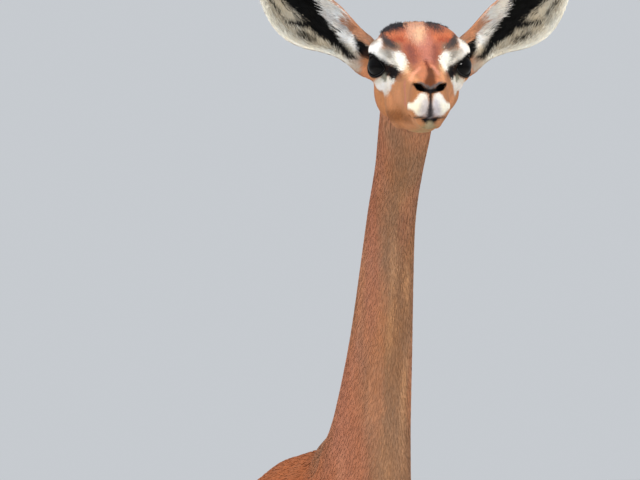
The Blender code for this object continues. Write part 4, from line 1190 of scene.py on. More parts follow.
def tint(co, normal):
    """The animal's colour at each point, in linear values."""
    share = regions(co)
    x, y, z = co.T
    n = len(co)
    rust, buff, cream = (np.tile(srgb(*c), (n, 1)) for c in (RUST, BUFF, CREAM))
    # Trunk: a rust saddle, buff flanks and a cream belly
    low, high = SADDLE_EDGE
    edge = high + (low - high) * smooth(-0.30, -0.08, y) + 0.004 * np.sin(y * 31)
    saddle = smooth(edge - 0.016, edge + 0.012, z)
    trunk_colour = mix(buff, rust, saddle)
    under = smooth(0.25, 0.75, -normal[:, 2]) * (1 - smooth(0.64, 0.72, z)) * (1 - smooth(0.28, 0.36, y))
    inner = smooth(0.35, 0.8, -normal[:, 0] * np.sign(x)) * (1 - smooth(0.62, 0.74, z))
    trunk_colour = mix(trunk_colour, cream, np.maximum(under, inner * 0.9))
    wide = np.abs(x) + 0.006 * mottle(co, (0.02, 0.02, 0.02), 6)
    behind = smooth(0.375, 0.42, y) * (1 - smooth(0.030, 0.052, wide)) * (1 - smooth(0.81, 0.835, z))
    behind = behind * smooth(0.56, 0.66, z)
    trunk_colour = mix(trunk_colour, cream, behind * 0.9)
    # Legs: buff, pale inside, with a dark tuft at the knee
    leg_inner = smooth(0.2, 0.8, -normal[:, 0] * np.sign(x)) * smooth(0.30, 0.50, z)
    leg_colour = mix(buff, cream, 0.85 * leg_inner)
    knee = np.exp(-(((z - 0.345) / 0.020) ** 2)) * (y < 0) * smooth(0.2, 0.8, -normal[:, 1])
    leg_colour = mix(leg_colour, srgb(*KNEE), 0.85 * knee)
    leg_colour = mix(leg_colour, srgb(*PASTERN), 0.5 * (1 - smooth(0.05, 0.12, z)))
    # Neck: redder along the nape, paler down the throat
    front = smooth(-0.1, 0.9, -normal[:, 1])
    neck_colour = mix(np.tile(srgb(*NAPE), (n, 1)), srgb(*THROAT), front)
    neck_colour = mix(neck_colour, rust, (1 - smooth(0.86, 0.98, z)) * (1 - front) * 0.6)
    for paint, size, seed, low, high, most in NECK_PATCHES:
        patch = smooth(low, high, mottle(co, size, seed)) * most
        neck_colour = mix(neck_colour, srgb(*paint), patch)
    pale = smooth(0.78, 0.95, -normal[:, 1]) * smooth(-0.2, 0.5, mottle(co, (0.009, 0.02, 0.05), 5))
    neck_colour = mix(neck_colour, srgb(*NECK_STREAK), 0.6 * pale)
    tail_colour = mix(buff, srgb(*TUFT), smooth(0.735, 0.69, z))
    tail_colour = mix(rust * 0.9, tail_colour, smooth(0.83, 0.80, z))
    # Head
    h = to_head(co)
    head_colour = np.tile(srgb(*HEAD_SIDE), (n, 1))
    nape = 1 - smooth(-62, -28, h[:, 0])
    head_colour = mix(head_colour, srgb(*NAPE), nape)
    near = share["head"] > 0
    head_colour[near] = head_tint(h[near], head_colour[near])
    gap, ring = eye_gap(co)
    lids = (1 - smooth(1.10, 1.30, ring)) * (gap < 24)
    head_colour = mix(head_colour, srgb(*EYE_SKIN), lids)
    colour = (
        head_colour * share["head"][:, None]
        + neck_colour * share["neck"][:, None]
        + trunk_colour * share["trunk"][:, None]
        + leg_colour * share["leg"][:, None]
        + tail_colour * share["tail"][:, None]
    )
    rough = 1 + 0.10 * mottle(co, (0.03, 0.03, 0.06), 8) + 0.06 * mottle(co, (0.008, 0.008, 0.02), 9)
    colour = colour * mix(np.ones((n, 3)), rough[:, None] * np.ones(3), 1 - share["head"])
    for side in (1, -1):
        along, across_share, across, _, near = ear_place(co, side)
        inside = smooth(-0.15, 0.25, normal @ vec(ear_axes(side)[3])) * smooth(-4, 5, along)
        ear = near * smooth(-1, 7, along)
        colour = mix(colour, ear_tint(along, across_share, across, inside), ear)
    return np.clip(colour, 0.004, 0.95)


def set_tint(mesh, colour):
    layer = mesh.attributes.new("tint", "FLOAT_COLOR", "POINT")
    rgba = np.ones((len(colour), 4), np.float32)
    rgba[:, :3] = colour
    layer.data.foreach_set("color", rgba.ravel())


# ---- coat


def lie_of_coat(co, normal):
    """The way the hair points at each place, along the surface."""
    share = regions(co)
    x, y, z = co.T
    f, l, u = to_head(co).T
    ways = np.zeros((len(co), 3))
    ways[:, 0] = -1
    ways[:, 2] = -0.35 * (1 - smooth(-40, -10, u)) * (1 - smooth(40, 90, f)) + 0.12 * smooth(10, 30, u)
    off = np.hypot(l, u + 34) + 1e-6
    front = 0.7 * smooth(110, 142, f)
    ways[:, 1] = front * l / off
    ways[:, 2] += front * (u + 34) / off
    # below the ears the hair turns down towards the neck
    ways[:, 2] -= 1.1 * (1 - smooth(-64, -34, f)) * (1 - smooth(-10, 20, u))
    way = unit(head_dirs(ways)) * share["head"][:, None]
    low = 1 - smooth(0.58, 0.76, z)
    front, end = 1 - smooth(-0.33, -0.27, y), smooth(0.35, 0.42, y)
    down = np.clip(0.22 + 1.3 * low + 2.2 * front + 2.5 * end, 0, 4)
    back = 1 - 0.6 * front - 0.5 * end
    trunk_way = unit(np.stack((0 * y, back, -down), axis=1))
    way += trunk_way * share["trunk"][:, None]
    for name, lie in LIES.items():
        way += share[name][:, None] * unit(np.array([lie], float))
    for side in (1, -1):
        along, share_across, _, _, near = ear_place(co, side)
        _, length, width, opening = (vec(v) for v in ear_axes(side))
        inside = (normal @ opening > 0.1) & (along > 10)
        toward = np.where(inside, -0.55 * np.sign(share_across + 0.1), 0.0)
        ear_way = length + toward[:, None] * width
        way = np.where((near & (along > 2))[:, None], ear_way, way)
    way = way - normal * np.sum(way * normal, axis=1)[:, None]
    return unit(way)


def sample(skin, rng):
    """Roots of tufts over the skin, as many to an area as their size there asks for."""
    mesh = skin.data
    mesh.calc_loop_triangles()
    count = len(mesh.loop_triangles)
    corners = np.empty(count * 3, np.int32)
    mesh.loop_triangles.foreach_get("vertices", corners)
    corners = corners.reshape(-1, 3)
    co, normal = mesh_points(skin)
    a, b, c = (co[corners[:, i]] for i in range(3))
    cross = np.cross(b - a, c - a)
    area = np.linalg.norm(cross, axis=1) / 2 / MM**2
    middle, facing = (a + b + c) / 3, unit(cross)
    length, half, _, _, cover = coat_sizes(middle, facing)
    density = cover / (length * half)
    gap, ring = eye_gap(middle)
    bare = (gap < SOCKET + 0.7) | ((ring < 1.13) & (gap < 23))
    h = to_head(middle)
    mirror = np.stack((h[:, 0], np.abs(h[:, 1]), h[:, 2]), axis=1)
    for path in BARE:
        bare |= within(mirror, path, 0.2) > 0.5
    for path in MUZZLE_BARE:
        bare |= (within(mirror[:, 1:], path, 0.2) > 0.5) & (h[:, 0] > MUZZLE_FROM)
    bare |= (middle[:, 2] < HOOF_HEIGHT + 0.0006) & (facing[:, 2] < -0.9)
    weight = area * density * ~bare
    total = weight.sum()
    wanted = int(total)
    marks = (np.arange(wanted) + rng.random(wanted)) * total / wanted
    which = np.minimum(np.searchsorted(np.cumsum(weight), marks), count - 1)
    s, t = rng.random(wanted), rng.random(wanted)
    over = s + t > 1
    s, t = np.where(over, 1 - s, s)[:, None], np.where(over, 1 - t, t)[:, None]
    r = 1 - s - t
    i, j, k = corners[which].T
    return co[i] * r + co[j] * s + co[k] * t, unit(normal[i] * r + normal[j] * s + normal[k] * t)


def solid(name, points, faces, colour, patch, region_uv):
    """One mesh of many equal closed tufts. points is (tufts, corners, 3)."""
    count, per = points.shape[:2]
    mesh = bpy.data.meshes.new(name)
    mesh.vertices.add(count * per)
    mesh.vertices.foreach_set("co", points.astype(np.float32).ravel())
    loops = (np.array(faces)[None] + (np.arange(count) * per)[:, None, None]).reshape(-1)
    mesh.loops.add(len(loops))
    mesh.loops.foreach_set("vertex_index", loops.astype(np.int32))
    mesh.polygons.add(len(loops) // 3)
    mesh.polygons.foreach_set("loop_start", np.arange(0, len(loops), 3, dtype=np.int32))
    mesh.update(calc_edges=True)
    mesh.shade_smooth()
    set_tint(mesh, np.clip(colour, 0.003, 0.97).reshape(-1, 3))
    uv = region_uv[:, None, :] + np.array(patch)[None] * UV_PATCH / 2
    uv = uv.reshape(-1, 2)[loops]
    mesh.uv_layers.new(name="OFBake").data.foreach_set("uv", uv.astype(np.float32).ravel())
    made = bpy.data.objects.new(name, mesh)
    bpy.context.scene.collection.objects.link(made)
    return made


KITE_FACES = ((0, 1, 3), (0, 3, 2), (1, 4, 3), (2, 3, 4), (0, 2, 4), (0, 4, 1))
KITE_PATCH = ((0, -1), (-1, 0), (1, 0), (0, 0), (0, 1))
# Share of the tip's colour at each corner, and its lightness: painted shade at the root down in the coat,
# painted light on the ridge and towards the tip
KITE_SHADE = ((0, 0.93), (0.36, 0.99), (0.36, 0.99), (0.36, 1.01), (1, 1.03))
KITE_LEAN = ((-0.2, 0), (0, -0.25), (0, 0.25), (0, 0), (0.15, 0))
UV_PATCH = 0.003


def kites(name, tufts):
    """Short flat tufts: a narrow root, a ridge along the back and a thin tip."""
    root, normal, way, end, length, half, lift, colour, tip, uv = tufts
    side = np.cross(normal, way)
    # in a hollow the tip stands over the root's plane, so the middle keeps to the line between them
    rise = np.maximum(0, -np.sum((end - root) * normal, axis=1) * 0.36) + lift * 0.5
    middle = root + (end - root) * 0.36 + normal * rise[:, None]
    points = np.empty((len(root), 5, 3))
    points[:, 0] = root - normal * (lift * 0.25)[:, None]
    points[:, 1] = middle - side * half[:, None]
    points[:, 2] = middle + side * half[:, None]
    points[:, 3] = middle + normal * (half * 0.28)[:, None]
    points[:, 4] = end
    shade = [(colour + (tip - colour) * run) * light for run, light in KITE_SHADE]
    shade = np.stack(shade, axis=1)
    made = solid(name, points, KITE_FACES, shade, KITE_PATCH, uv)
    lean = np.repeat(normal[:, None], 5, axis=1)
    for i, (along, across) in enumerate(KITE_LEAN):
        lean[:, i] += way * along + side * across
    made.data.normals_split_custom_set_from_vertices(unit(lean.reshape(-1, 3)))
    return made


def strands(name, path, side, half, colour, uv, tip_colour=None):
    """Long locks of three sides that taper along a path of points. path is (locks, points, 3)."""
    count, stations = path.shape[:2]
    along = unit((path[:, -1] - path[:, 0]))
    ridge = unit(np.cross(along, side))
    points = np.empty((count, (stations - 1) * 3 + 1, 3))
    share = np.arange(stations - 1) / (stations - 1)
    size = (1 - share**1.5) * (0.55 + 0.45 * np.minimum(share * 3, 1))
    for i in range(stations - 1):
        width = (half * size[i])[:, None]
        points[:, i * 3] = path[:, i] - side * width
        points[:, i * 3 + 1] = path[:, i] + side * width
        points[:, i * 3 + 2] = path[:, i] + ridge * width * 0.7
    points[:, -1] = path[:, -1]
    faces = [(0, 1, 2)]
    for i in range(stations - 2):
        a, b = i * 3, i * 3 + 3
        for j in range(3):
            k = (j + 1) % 3
            faces += [(a + j, b + j, b + k), (a + j, b + k, a + k)]
    a, tip = (stations - 2) * 3, (stations - 1) * 3
    faces += [(a + j, tip, a + (j + 1) % 3) for j in range(3)]
    patch = [((j - 1), 2 * i / (stations - 1) - 1) for i in range(stations - 1) for j in range(3)]
    patch.append((0, 1))
    tips = colour if tip_colour is None else tip_colour
    run = np.repeat(share, 3).tolist() + [1.0]
    shade = np.stack([colour + (tips - colour) * t for t in run], axis=1)
    return solid(name, points, faces, shade, patch, uv)


def unwrap(co, region):
    """A place on a flat map of each region: round it and along it."""
    x, y, z = co.T
    if region.startswith(("face", "skull")):
        f, l, u = to_head(co).T
        turn, run = np.arctan2(l, u + 16), (f + 110) / 270
    elif "ear" in region:
        side = 1 if region.startswith("left") else -1
        along, share, _, out, _ = ear_place(co, side)
        deep = np.interp(along, [r[0] for r in EAR], [r[2] for r in EAR])
        back = out < -np.sqrt(np.clip(1 - share**2, 0, 1)) * (deep - 1.2)
        turn = (np.clip(share, -1, 1) * 0.5 + np.where(back, 0.5, -0.5)) * math.pi * 0.98
        run = (along + 10) / 190
    elif region.startswith("neck"):
        rows = np.array(NECK)
        turn = np.arctan2(x - np.interp(z, rows[:, 2], rows[:, 0]), y - np.interp(z, rows[:, 2], rows[:, 1]))
        run = (z - 0.72) / 0.65
    elif region.endswith("leg"):
        rows = np.array(FORELEG if "fore" in region else HIND_LEG)[::-1]
        middle = np.interp(z, rows[:, 2], rows[:, 0]) * np.sign(x)
        turn = np.arctan2(x - middle, y - np.interp(z, rows[:, 2], rows[:, 1]))
        run = z / 0.62
    elif region == "tail":
        turn, run = np.arctan2(x, y - 0.465), (z - 0.55) / 0.35
    else:
        turn, run = np.arctan2(x, z - 0.74), (y + 0.37) / 0.85
    u = np.clip(turn / (2 * math.pi) + 0.5, 0, 1) * 0.98 + 0.01
    return np.stack((u, np.clip(run, 0, 1) * 0.98 + 0.01), axis=1)


def region_names(co):
    """The name of the coat piece that each root belongs to."""
    share = regions(co)
    x, y, z = co.T
    f = to_head(co)[:, 0]
    side = np.where(x > 0, "left", "right")
    name = np.where(y < -0.06, "chest", np.where(y < 0.15, "belly", "rump")).astype("U20")
    name = np.char.add(np.char.add(name, "_"), side)
    leg = np.char.add(np.char.add(side, np.where(y < 0, "_fore", "_hind")), "leg")
    name = np.where(share["leg"] > 0.5, leg, name)
    name = np.where(share["tail"] > 0.5, "tail", name)
    name = np.where(share["neck"] > 0.5, np.where(z > 1.06, "neck_upper", "neck_lower"), name)
    front = np.where(f > 60, "face_front", "face_rear")
    name = np.where(share["head"] > 0.5, np.where(f > 8, front, "skull"), name)
    for way, word in ((1, "left_ear"), (-1, "right_ear")):
        along, _, _, _, near = ear_place(co, way)
        name = np.where(near & (along > 3), word, name)
    return name


def make_coat(skin, rng):
    """Short tufts all over, one piece for each region."""
    root, normal = sample(skin, rng)
    count = len(root)
    log("tufts", count)
    way = lie_of_coat(root, normal)
    side = np.cross(normal, way)
    stray = rng.normal(0, 0.13, count)
    way = way * np.cos(stray)[:, None] + side * np.sin(stray)[:, None]
    length, half, _, lift, _ = coat_sizes(root, normal)
    length = length * rng.uniform(0.72, 1.25, count) * MM
    half = half * rng.uniform(0.75, 1.2, count) * MM
    lift = lift * rng.uniform(0.55, 1.15, count) * MM
    tree = BVHTree.FromObject(skin, bpy.context.evaluated_depsgraph_get())
    reach = root + way * length[:, None]
    end = np.empty_like(reach)
    for i, point in enumerate(reach.tolist()):
        place, facing, _, _ = tree.find_nearest(point)
        rise = lift[i]
        end[i] = (place[0] + facing[0] * rise, place[1] + facing[1] * rise, place[2] + facing[2] * rise)
    log("tips")
    jitter = rng.normal(0, 1, (count, 3)) * (length * 0.20)[:, None]
    warm = rng.normal(0, 0.022, count)
    change = np.stack((1 + warm, np.ones(count), 1 - warm), axis=1) * (1 + rng.normal(0, 0.05, count))[:, None]
    colour, tip = tint(root + jitter, normal) * change, tint(end + jitter, normal) * change
    names = region_names(root)
    made = []
    for name in sorted(set(names.tolist())):
        here = np.nonzero(names == name)[0]
        if len(here) > TUFT_LIMIT:
            log("too many", name, len(here))
        uv = unwrap(root[here], name)
        parts = [v[here] for v in (root, normal, way, end, length, half, lift, colour, tip)]
        made.append(kites("coat_" + name, (*parts, uv)))
    log("coat", len(made))
    return made


def arc(root, way, normal, length, lift, curl, stations=5):
    """Points of locks that leave a root along a way, rise by lift and bend by curl."""
    t = np.linspace(0, 1, stations)[None, :, None]
    length = np.asarray(length)[:, None, None]
    lift = np.asarray(lift)[:, None, None]
    return (
        root[:, None] + way[:, None] * length * t + normal[:, None] * lift * (t - 0.3 * t * t) + curl[:, None] * t * t
    )


def ear_hair(tree, rng):
    """Long hair inside each cup, from its edges in over the black band, and a fringe on the rims."""
    made = []
    for side, word in ((1, "left"), (-1, "right")):
        root, length, width, opening = (vec(v) for v in ear_axes(side))
        rows = np.array(EAR, float)
        lines = []

        def inside(point):
            return tree.ray_cast(Vector(point + opening * 0.05), Vector(-opening), 0.12)

        for low, high, first, last, count, reach, lean, paint in EAR_HAIR:
            along = rng.uniform(first, last, count)
            share = rng.uniform(low, high, count)
            wide = np.interp(along, rows[:, 0], rows[:, 1])
            bow = np.interp(along, rows[:, 0], rows[:, 3])
            start = root + (length * along[:, None] + width * (bow + share * wide / 2)[:, None]) * MM
            lines.append((start, along, share, rng.uniform(0.7, 1.2, count) * reach, np.full(count, lean), paint))
        start = np.concatenate([l[0] for l in lines])
        reach = np.concatenate([l[3] for l in lines]) * MM
        lean = np.concatenate([l[4] for l in lines])
        paint = np.concatenate([np.tile(srgb(*l[5]), (len(l[0]), 1)) for l in lines])
        paint = paint * rng.uniform(0.82, 1.12, len(paint))[:, None]
        keep, base, facing = [], [], []
        for i, point in enumerate(start):
            hit = inside(point)
            if hit[0] is not None:
                keep.append(i)
                base.append(tuple(hit[0]))
                facing.append(tuple(hit[1]))
        base, facing, keep = np.array(base), np.array(facing), np.array(keep)
        way = length + width * lean[keep][:, None] + rng.normal(0, 0.14, (len(keep), 3))
        way = unit(way - facing * np.sum(way * facing, axis=1)[:, None])
        lift = reach[keep] * rng.uniform(0.06, 0.16, len(keep))
        path = arc(base - facing * 0.0003, way, facing, reach[keep], lift, -facing * (reach[keep] * 0.08)[:, None], 4)
        for i, line in enumerate(path):
            for j in range(1, len(line)):
                hit = inside(line[j])
                if hit[0] is not None:
                    line[j] = vec(hit[0]) + vec(hit[1]) * (0.0006 + 0.30 * lift[i] * j)
        across = unit(np.cross(facing, way))
        colour = tint(base, facing)
        colour = np.where((colour.max(axis=1) < 0.12)[:, None], colour, paint[keep])
        half = rng.uniform(0.18, 0.32, len(keep)) * MM
        uv = unwrap(base, word + "_ear")
        made.append(strands(f"{word}_ear_hair", path, across, half, colour * 0.86, uv, colour * 1.06))
    return made


def crown_hair(tree, rng):
    """Longer hair that stands between the ears, darker behind and at the sides."""
    lines = []
    for (back, front), (right, left), count, reach, paint in CROWN_HAIR:
        for place in zip(rng.uniform(back, front, count), rng.uniform(right, left, count)):
            start = in_head(place[0], place[1], 90)
            hit = tree.ray_cast(start, -head_way(0, 0, 1), 0.1)
            if hit[0] is not None and hit[1].dot(head_way(0, 0, 1)) > 0.3:
                lines.append((*hit[0], *hit[1], reach * rng.uniform(0.6, 1.15) * MM, *srgb(*paint)))
    lines = np.array(lines)
    base, facing, length, colour = lines[:, :3], lines[:, 3:6], lines[:, 6], lines[:, 7:]
    way = head_dirs(np.array([(-1.0, 0, 0.25)])) + facing * 0.30 + rng.normal(0, 0.10, base.shape)
    way = unit(way)
    path = arc(base - facing * 0.0005, way, facing, length, length * 0.22, -facing * (length * 0.10)[:, None], 5)
    colour = colour * rng.uniform(0.8, 1.12, len(colour))[:, None]
    half = rng.uniform(0.30, 0.50, len(length)) * MM
    side = unit(np.cross(facing, way))
    return strands("crown_hair", path, side, half, colour * 0.85, unwrap(base, "skull"), colour * 1.08)


def lash_pieces(rng):
    """Upper lashes of both eyes."""
    made = []
    for side, word in ((1, "left"), (-1, "right")):
        centre, outward, corner, rise = (vec(v) for v in eye_axes(side))
        ring = np.array([tuple(p) for p in lid_ring(side, EYE_RADIUS + 1.3, 240, 1.03)])
        angle = np.linspace(0.12, 0.90, LASHES) * math.pi
        picked = ring[(angle / (2 * math.pi) * 240).astype(int)]
        out = unit(picked - centre)
        way = unit(out * 0.9 - rise * 0.25 + outward * 0.25 + rng.normal(0, 0.10, out.shape))
        length = rng.uniform(0.75, 1.1, len(out)) * LASH_LENGTH * np.sin(angle) ** 0.4
        path = arc(picked, way, out, length, length * 0.05, rise[None] * (length * 0.30)[:, None], 4)
        colour = np.tile(srgb(*EYE_SKIN), (len(out), 1))
        uv = unwrap(picked, "face_rear")
        made.append(strands(f"{word}_lashes", path, unit(np.cross(way, out)), np.full(len(out), 0.30 * MM), colour, uv))
    return made


def tail_tuft(rng):
    """The black tuft at the end of the tail, from many thin overlapping locks."""
    rows = np.array(TAIL)[::-1]
    z = rng.uniform(TAIL[-1][2] + 0.006, TUFT_TOP[2] + 0.004, TAIL_LOCKS)
    turn = rng.uniform(0, 2 * math.pi, TAIL_LOCKS)
    out = np.stack((np.cos(turn), np.sin(turn), 0 * turn), axis=1)
    x, y = np.interp(z, rows[:, 2], rows[:, 0]), np.interp(z, rows[:, 2], rows[:, 1])
    base = np.stack((x, y, z), axis=1) + out * (np.interp(z, rows[:, 2], rows[:, 3]) - 0.0016)[:, None]
    way = unit(out * rng.uniform(0.10, 0.30, TAIL_LOCKS)[:, None] + np.array((0, 0, -1)))
    low = TUFT_TOP[2] - TUFT_REACH
    length = np.minimum(rng.uniform(0.045, 0.105, TAIL_LOCKS), z - low)
    curl = np.stack((-out[:, 0], -out[:, 1], 0 * turn), axis=1) * (length * 0.10)[:, None]
    path = arc(base, way, out, length, length * 0.02, curl, 6)
    colour = np.tile(srgb(*TUFT), (TAIL_LOCKS, 1)) * rng.uniform(0.7, 1.6, TAIL_LOCKS)[:, None]
    side = unit(np.cross(way, out))
    half = rng.uniform(0.6, 1.15, TAIL_LOCKS) * MM
    return strands("tail_tuft_hair", path, side, half, colour, unwrap(base, "tail"), colour * 1.4)


def coronet_hair(rng):
    """Hair that hangs from the lower edge of each foot over its claws."""
    made = []
    for name, step in STEPS.items():
        side = 1 if name.startswith("left") else -1
        fore = name.endswith("fore")
        rows = FORELEG if fore else HIND_LEG
        pivot = FORE_PIVOT if fore else HIND_PIVOT
        x, y, z, wide, deep = rows[-2]
        y += step * (1 - z / pivot)
        turn = rng.uniform(0, 2 * math.pi, CORONET_HAIRS)
        out = np.stack((np.cos(turn), np.sin(turn), 0 * turn), axis=1)
        base = np.stack(
            (
                x * side + out[:, 0] * (wide - 0.0014),
                y - 0.001 + out[:, 1] * (deep - 0.0014),
                np.full(len(turn), HOOF_HEIGHT + 0.0035) + rng.uniform(0, 0.006, len(turn)),
            ),
            axis=1,
        )
        way = unit(out * 0.10 + np.array((0, -0.35, -1.0)) + rng.normal(0, 0.08, out.shape))
        length = rng.uniform(0.006, 0.0105, len(turn))
        path = arc(base, way, out, length, length * 0.14, 0 * out, 4)
        colour = tint(base, out) * rng.uniform(0.75, 1.1, len(turn))[:, None]
        uv = unwrap(base, ("left" if side > 0 else "right") + ("_foreleg" if fore else "_hindleg"))
        half = np.full(len(turn), 0.55 * MM)
        made.append(strands(f"{name}_coronet_hair", path, unit(np.cross(way, out)), half, colour * 0.8, uv, colour))
    return made


# ---- eyes, lids, horn


def eyeball(side, name):
    """A ball with a raised cornea over a dark iris and a wide level pupil."""
    centre, outward, corner, rise = eye_axes(side)
    level = head_way(math.sin(EYE_OUTWARD), -math.cos(EYE_OUTWARD) * side, 0.0)
    level = (level - outward * level.dot(outward)).normalized()
    up = outward.cross(level) * (1 if outward.cross(level).dot(rise) > 0 else -1)
    rings, colours = [], []
    for i in range(1, EYE_RINGS):
        polar = math.pi * i / EYE_RINGS
        bulge = 1.0 * math.exp(-((polar / 0.55) ** 4)) * (1 - 0.35 * (polar / 0.55) ** 2)
        radius = EYE_RADIUS - 0.15 + max(bulge, 0.0)
        ring = []
        for j in range(EYE_SIDES):
            angle = 2 * math.pi * j / EYE_SIDES
            across = level * math.cos(angle) + up * math.sin(angle)
            ring.append(centre + (outward * math.cos(polar) + across * math.sin(polar)) * radius * MM)
            wide, high = math.sin(polar) * math.cos(angle), math.sin(polar) * math.sin(angle)
            colours.append((polar, wide, high))
        rings.append(ring)
    made = loft(name, rings)
    colours += [(0.0, 0.0, 0.0), (math.pi, 0.0, 0.0)]
    polar, wide, high = np.array(colours).T
    base = np.tile(srgb(*SCLERA), (len(polar), 1))
    base = mix(base, srgb(*IRIS), 1 - smooth(0.66, 0.74, polar))
    base = mix(base, srgb(*IRIS_EDGE), np.exp(-(((polar - 0.68) / 0.07) ** 2)))
    pupil = 1 - smooth(0.92, 1.08, np.hypot(wide / 0.36, high / 0.20))
    base = mix(base, srgb(6, 5, 6), pupil * (polar < 1))
    set_tint(made.data, base)
    made.data.shade_smooth()
    return made


def lid_rim(side, name):
    """The moist dark edge of the lids, as a thin roll round their opening."""
    centre = eye_axes(side)[0]
    ring = lid_ring(side, EYE_RADIUS + 0.75, 72)
    work = bmesh.new()
    loops = []
    for i, point in enumerate(ring):
        way = (ring[(i + 1) % len(ring)] - ring[i - 1]).normalized()
        out = (point - centre).normalized()
        inward = way.cross(out).normalized()
        loop = []
        for j in range(10):
            angle = 2 * math.pi * j / 10
            swell = LID_RIM * MM
            loop.append(work.verts.new(point + (out * math.cos(angle) + inward * math.sin(angle)) * swell))
        loops.append(loop)
    for i, loop in enumerate(loops):
        after = loops[(i + 1) % len(loops)]
        for j in range(10):
            k = (j + 1) % 10
            work.faces.new((loop[j], after[j], after[k], loop[k]))
    made = new_object(name, work)
    made.data.shade_smooth()
    return made


def claw(name, x, y, way):
    """One claw of a hoof, with growth rings and a slightly raised edge to its flat sole."""
    rings = []
    for i in range(CLAW_RINGS + 1):
        rise = i / CLAW_RINGS
        swell = 0.95 + 0.05 * min(rise / 0.12, 1.0) + 0.010 * math.sin(rise * 31) * (rise > 0.15) * (rise < 0.92)
        ring = []
        for j in range(40):
            across, along = hoof_outline(j / 40, rise)
            place = x + way * (HOOF_SPACING - 0.0012 * rise) + across * swell
            ring.append(Vector((place, y - 0.004 + along * swell, HOOF_HEIGHT * rise)))
        rings.append(ring)
    made = loft(name, rings)
    made.data.shade_smooth()
    made.data.set_sharp_from_angle(angle=math.radians(50))
    return made


def horn_pieces():
    """Fine claws and dewclaws in place of the plain ones, and the node that each stands for."""
    made = {}
    for name, step in STEPS.items():
        side = 1 if name.startswith("left") else -1
        fore = name.endswith("fore")
        rows = FORELEG if fore else HIND_LEG
        pivot = FORE_PIVOT if fore else HIND_PIVOT
        x, y, z = rows[-2][:3]
        y += step * (1 - z / pivot)
        dew_x, dew_y, dew_z = rows[-4][:3]
        dew_y += step * (1 - dew_z / pivot)
        for word, way in (("inner", -side), ("outer", side)):
            made[f"{name}_{word}_claw"] = claw(f"{name}_{word}_hoof", x * side, y, way)
            place = Vector((dew_x * side + way * 0.0085, dew_y + 0.0165, dew_z - 0.004))
            dew = ball(f"{name}_{word}_dew", place, DEWCLAW, tilt(28), 24)
            dew.data.shade_smooth()
            made[f"{name}_{word}_dewclaw"] = dew
    return made


# ---- materials


class Nodes:
    """A material's node tree, built with short calls."""

    def __init__(self, name):
        self.material = bpy.data.materials.new(name)
        self.material.use_nodes = True
        self.tree = self.material.node_tree
        self.shader = self.tree.nodes["Principled BSDF"]

    def add(self, kind, settings=None, **inputs):
        node = self.tree.nodes.new(kind)
        for key, value in (settings or {}).items():
            setattr(node, key, value)
        for key, value in inputs.items():
            self.feed(node, key.replace("_", " "), value)
        return node

    def feed(self, node, key, value):
        socket = node.inputs[int(key)] if key.isdigit() else node.inputs[key]
        if isinstance(value, bpy.types.NodeSocket):
            self.tree.links.new(value, socket)
        else:
            socket.default_value = value

    def set(self, **inputs):
        for key, value in inputs.items():
            self.feed(self.shader, key.replace("_", " "), value)

    def math(self, operation, one, two):
        node = self.add("ShaderNodeMath", {"operation": operation})
        self.feed(node, "0", one)
        self.feed(node, "1", two)
        return node.outputs[0]

    def noise(self, scale, stretch=(1, 1, 1), detail=3.0, rough=0.55):
        place = self.add("ShaderNodeTexCoord").outputs["Object"]
        mapping = self.add("ShaderNodeMapping", None, Vector=place, Scale=stretch)
        made = self.add(
            "ShaderNodeTexNoise", None, Vector=mapping.outputs[0], Scale=scale, Detail=detail, Roughness=rough
        )
        return made.outputs["Fac"]

    def ramp(self, value, low, high, to_low=0.0, to_high=1.0):
        node = self.add("ShaderNodeMapRange", None, Value=value)
        node.inputs["From Min"].default_value = low
        node.inputs["From Max"].default_value = high
        node.inputs["To Min"].default_value = to_low
        node.inputs["To Max"].default_value = to_high
        return node.outputs[0]

    def scaled(self, colour, amount):
        node = self.add("ShaderNodeVectorMath", {"operation": "SCALE"})
        self.feed(node, "0", colour)
        self.feed(node, "Scale", amount)
        return node.outputs[0]

    def bump(self, height, strength, distance):
        node = self.add("ShaderNodeBump", None, Height=height, Strength=strength, Distance=distance)
        self.tree.links.new(node.outputs[0], self.shader.inputs["Normal"])


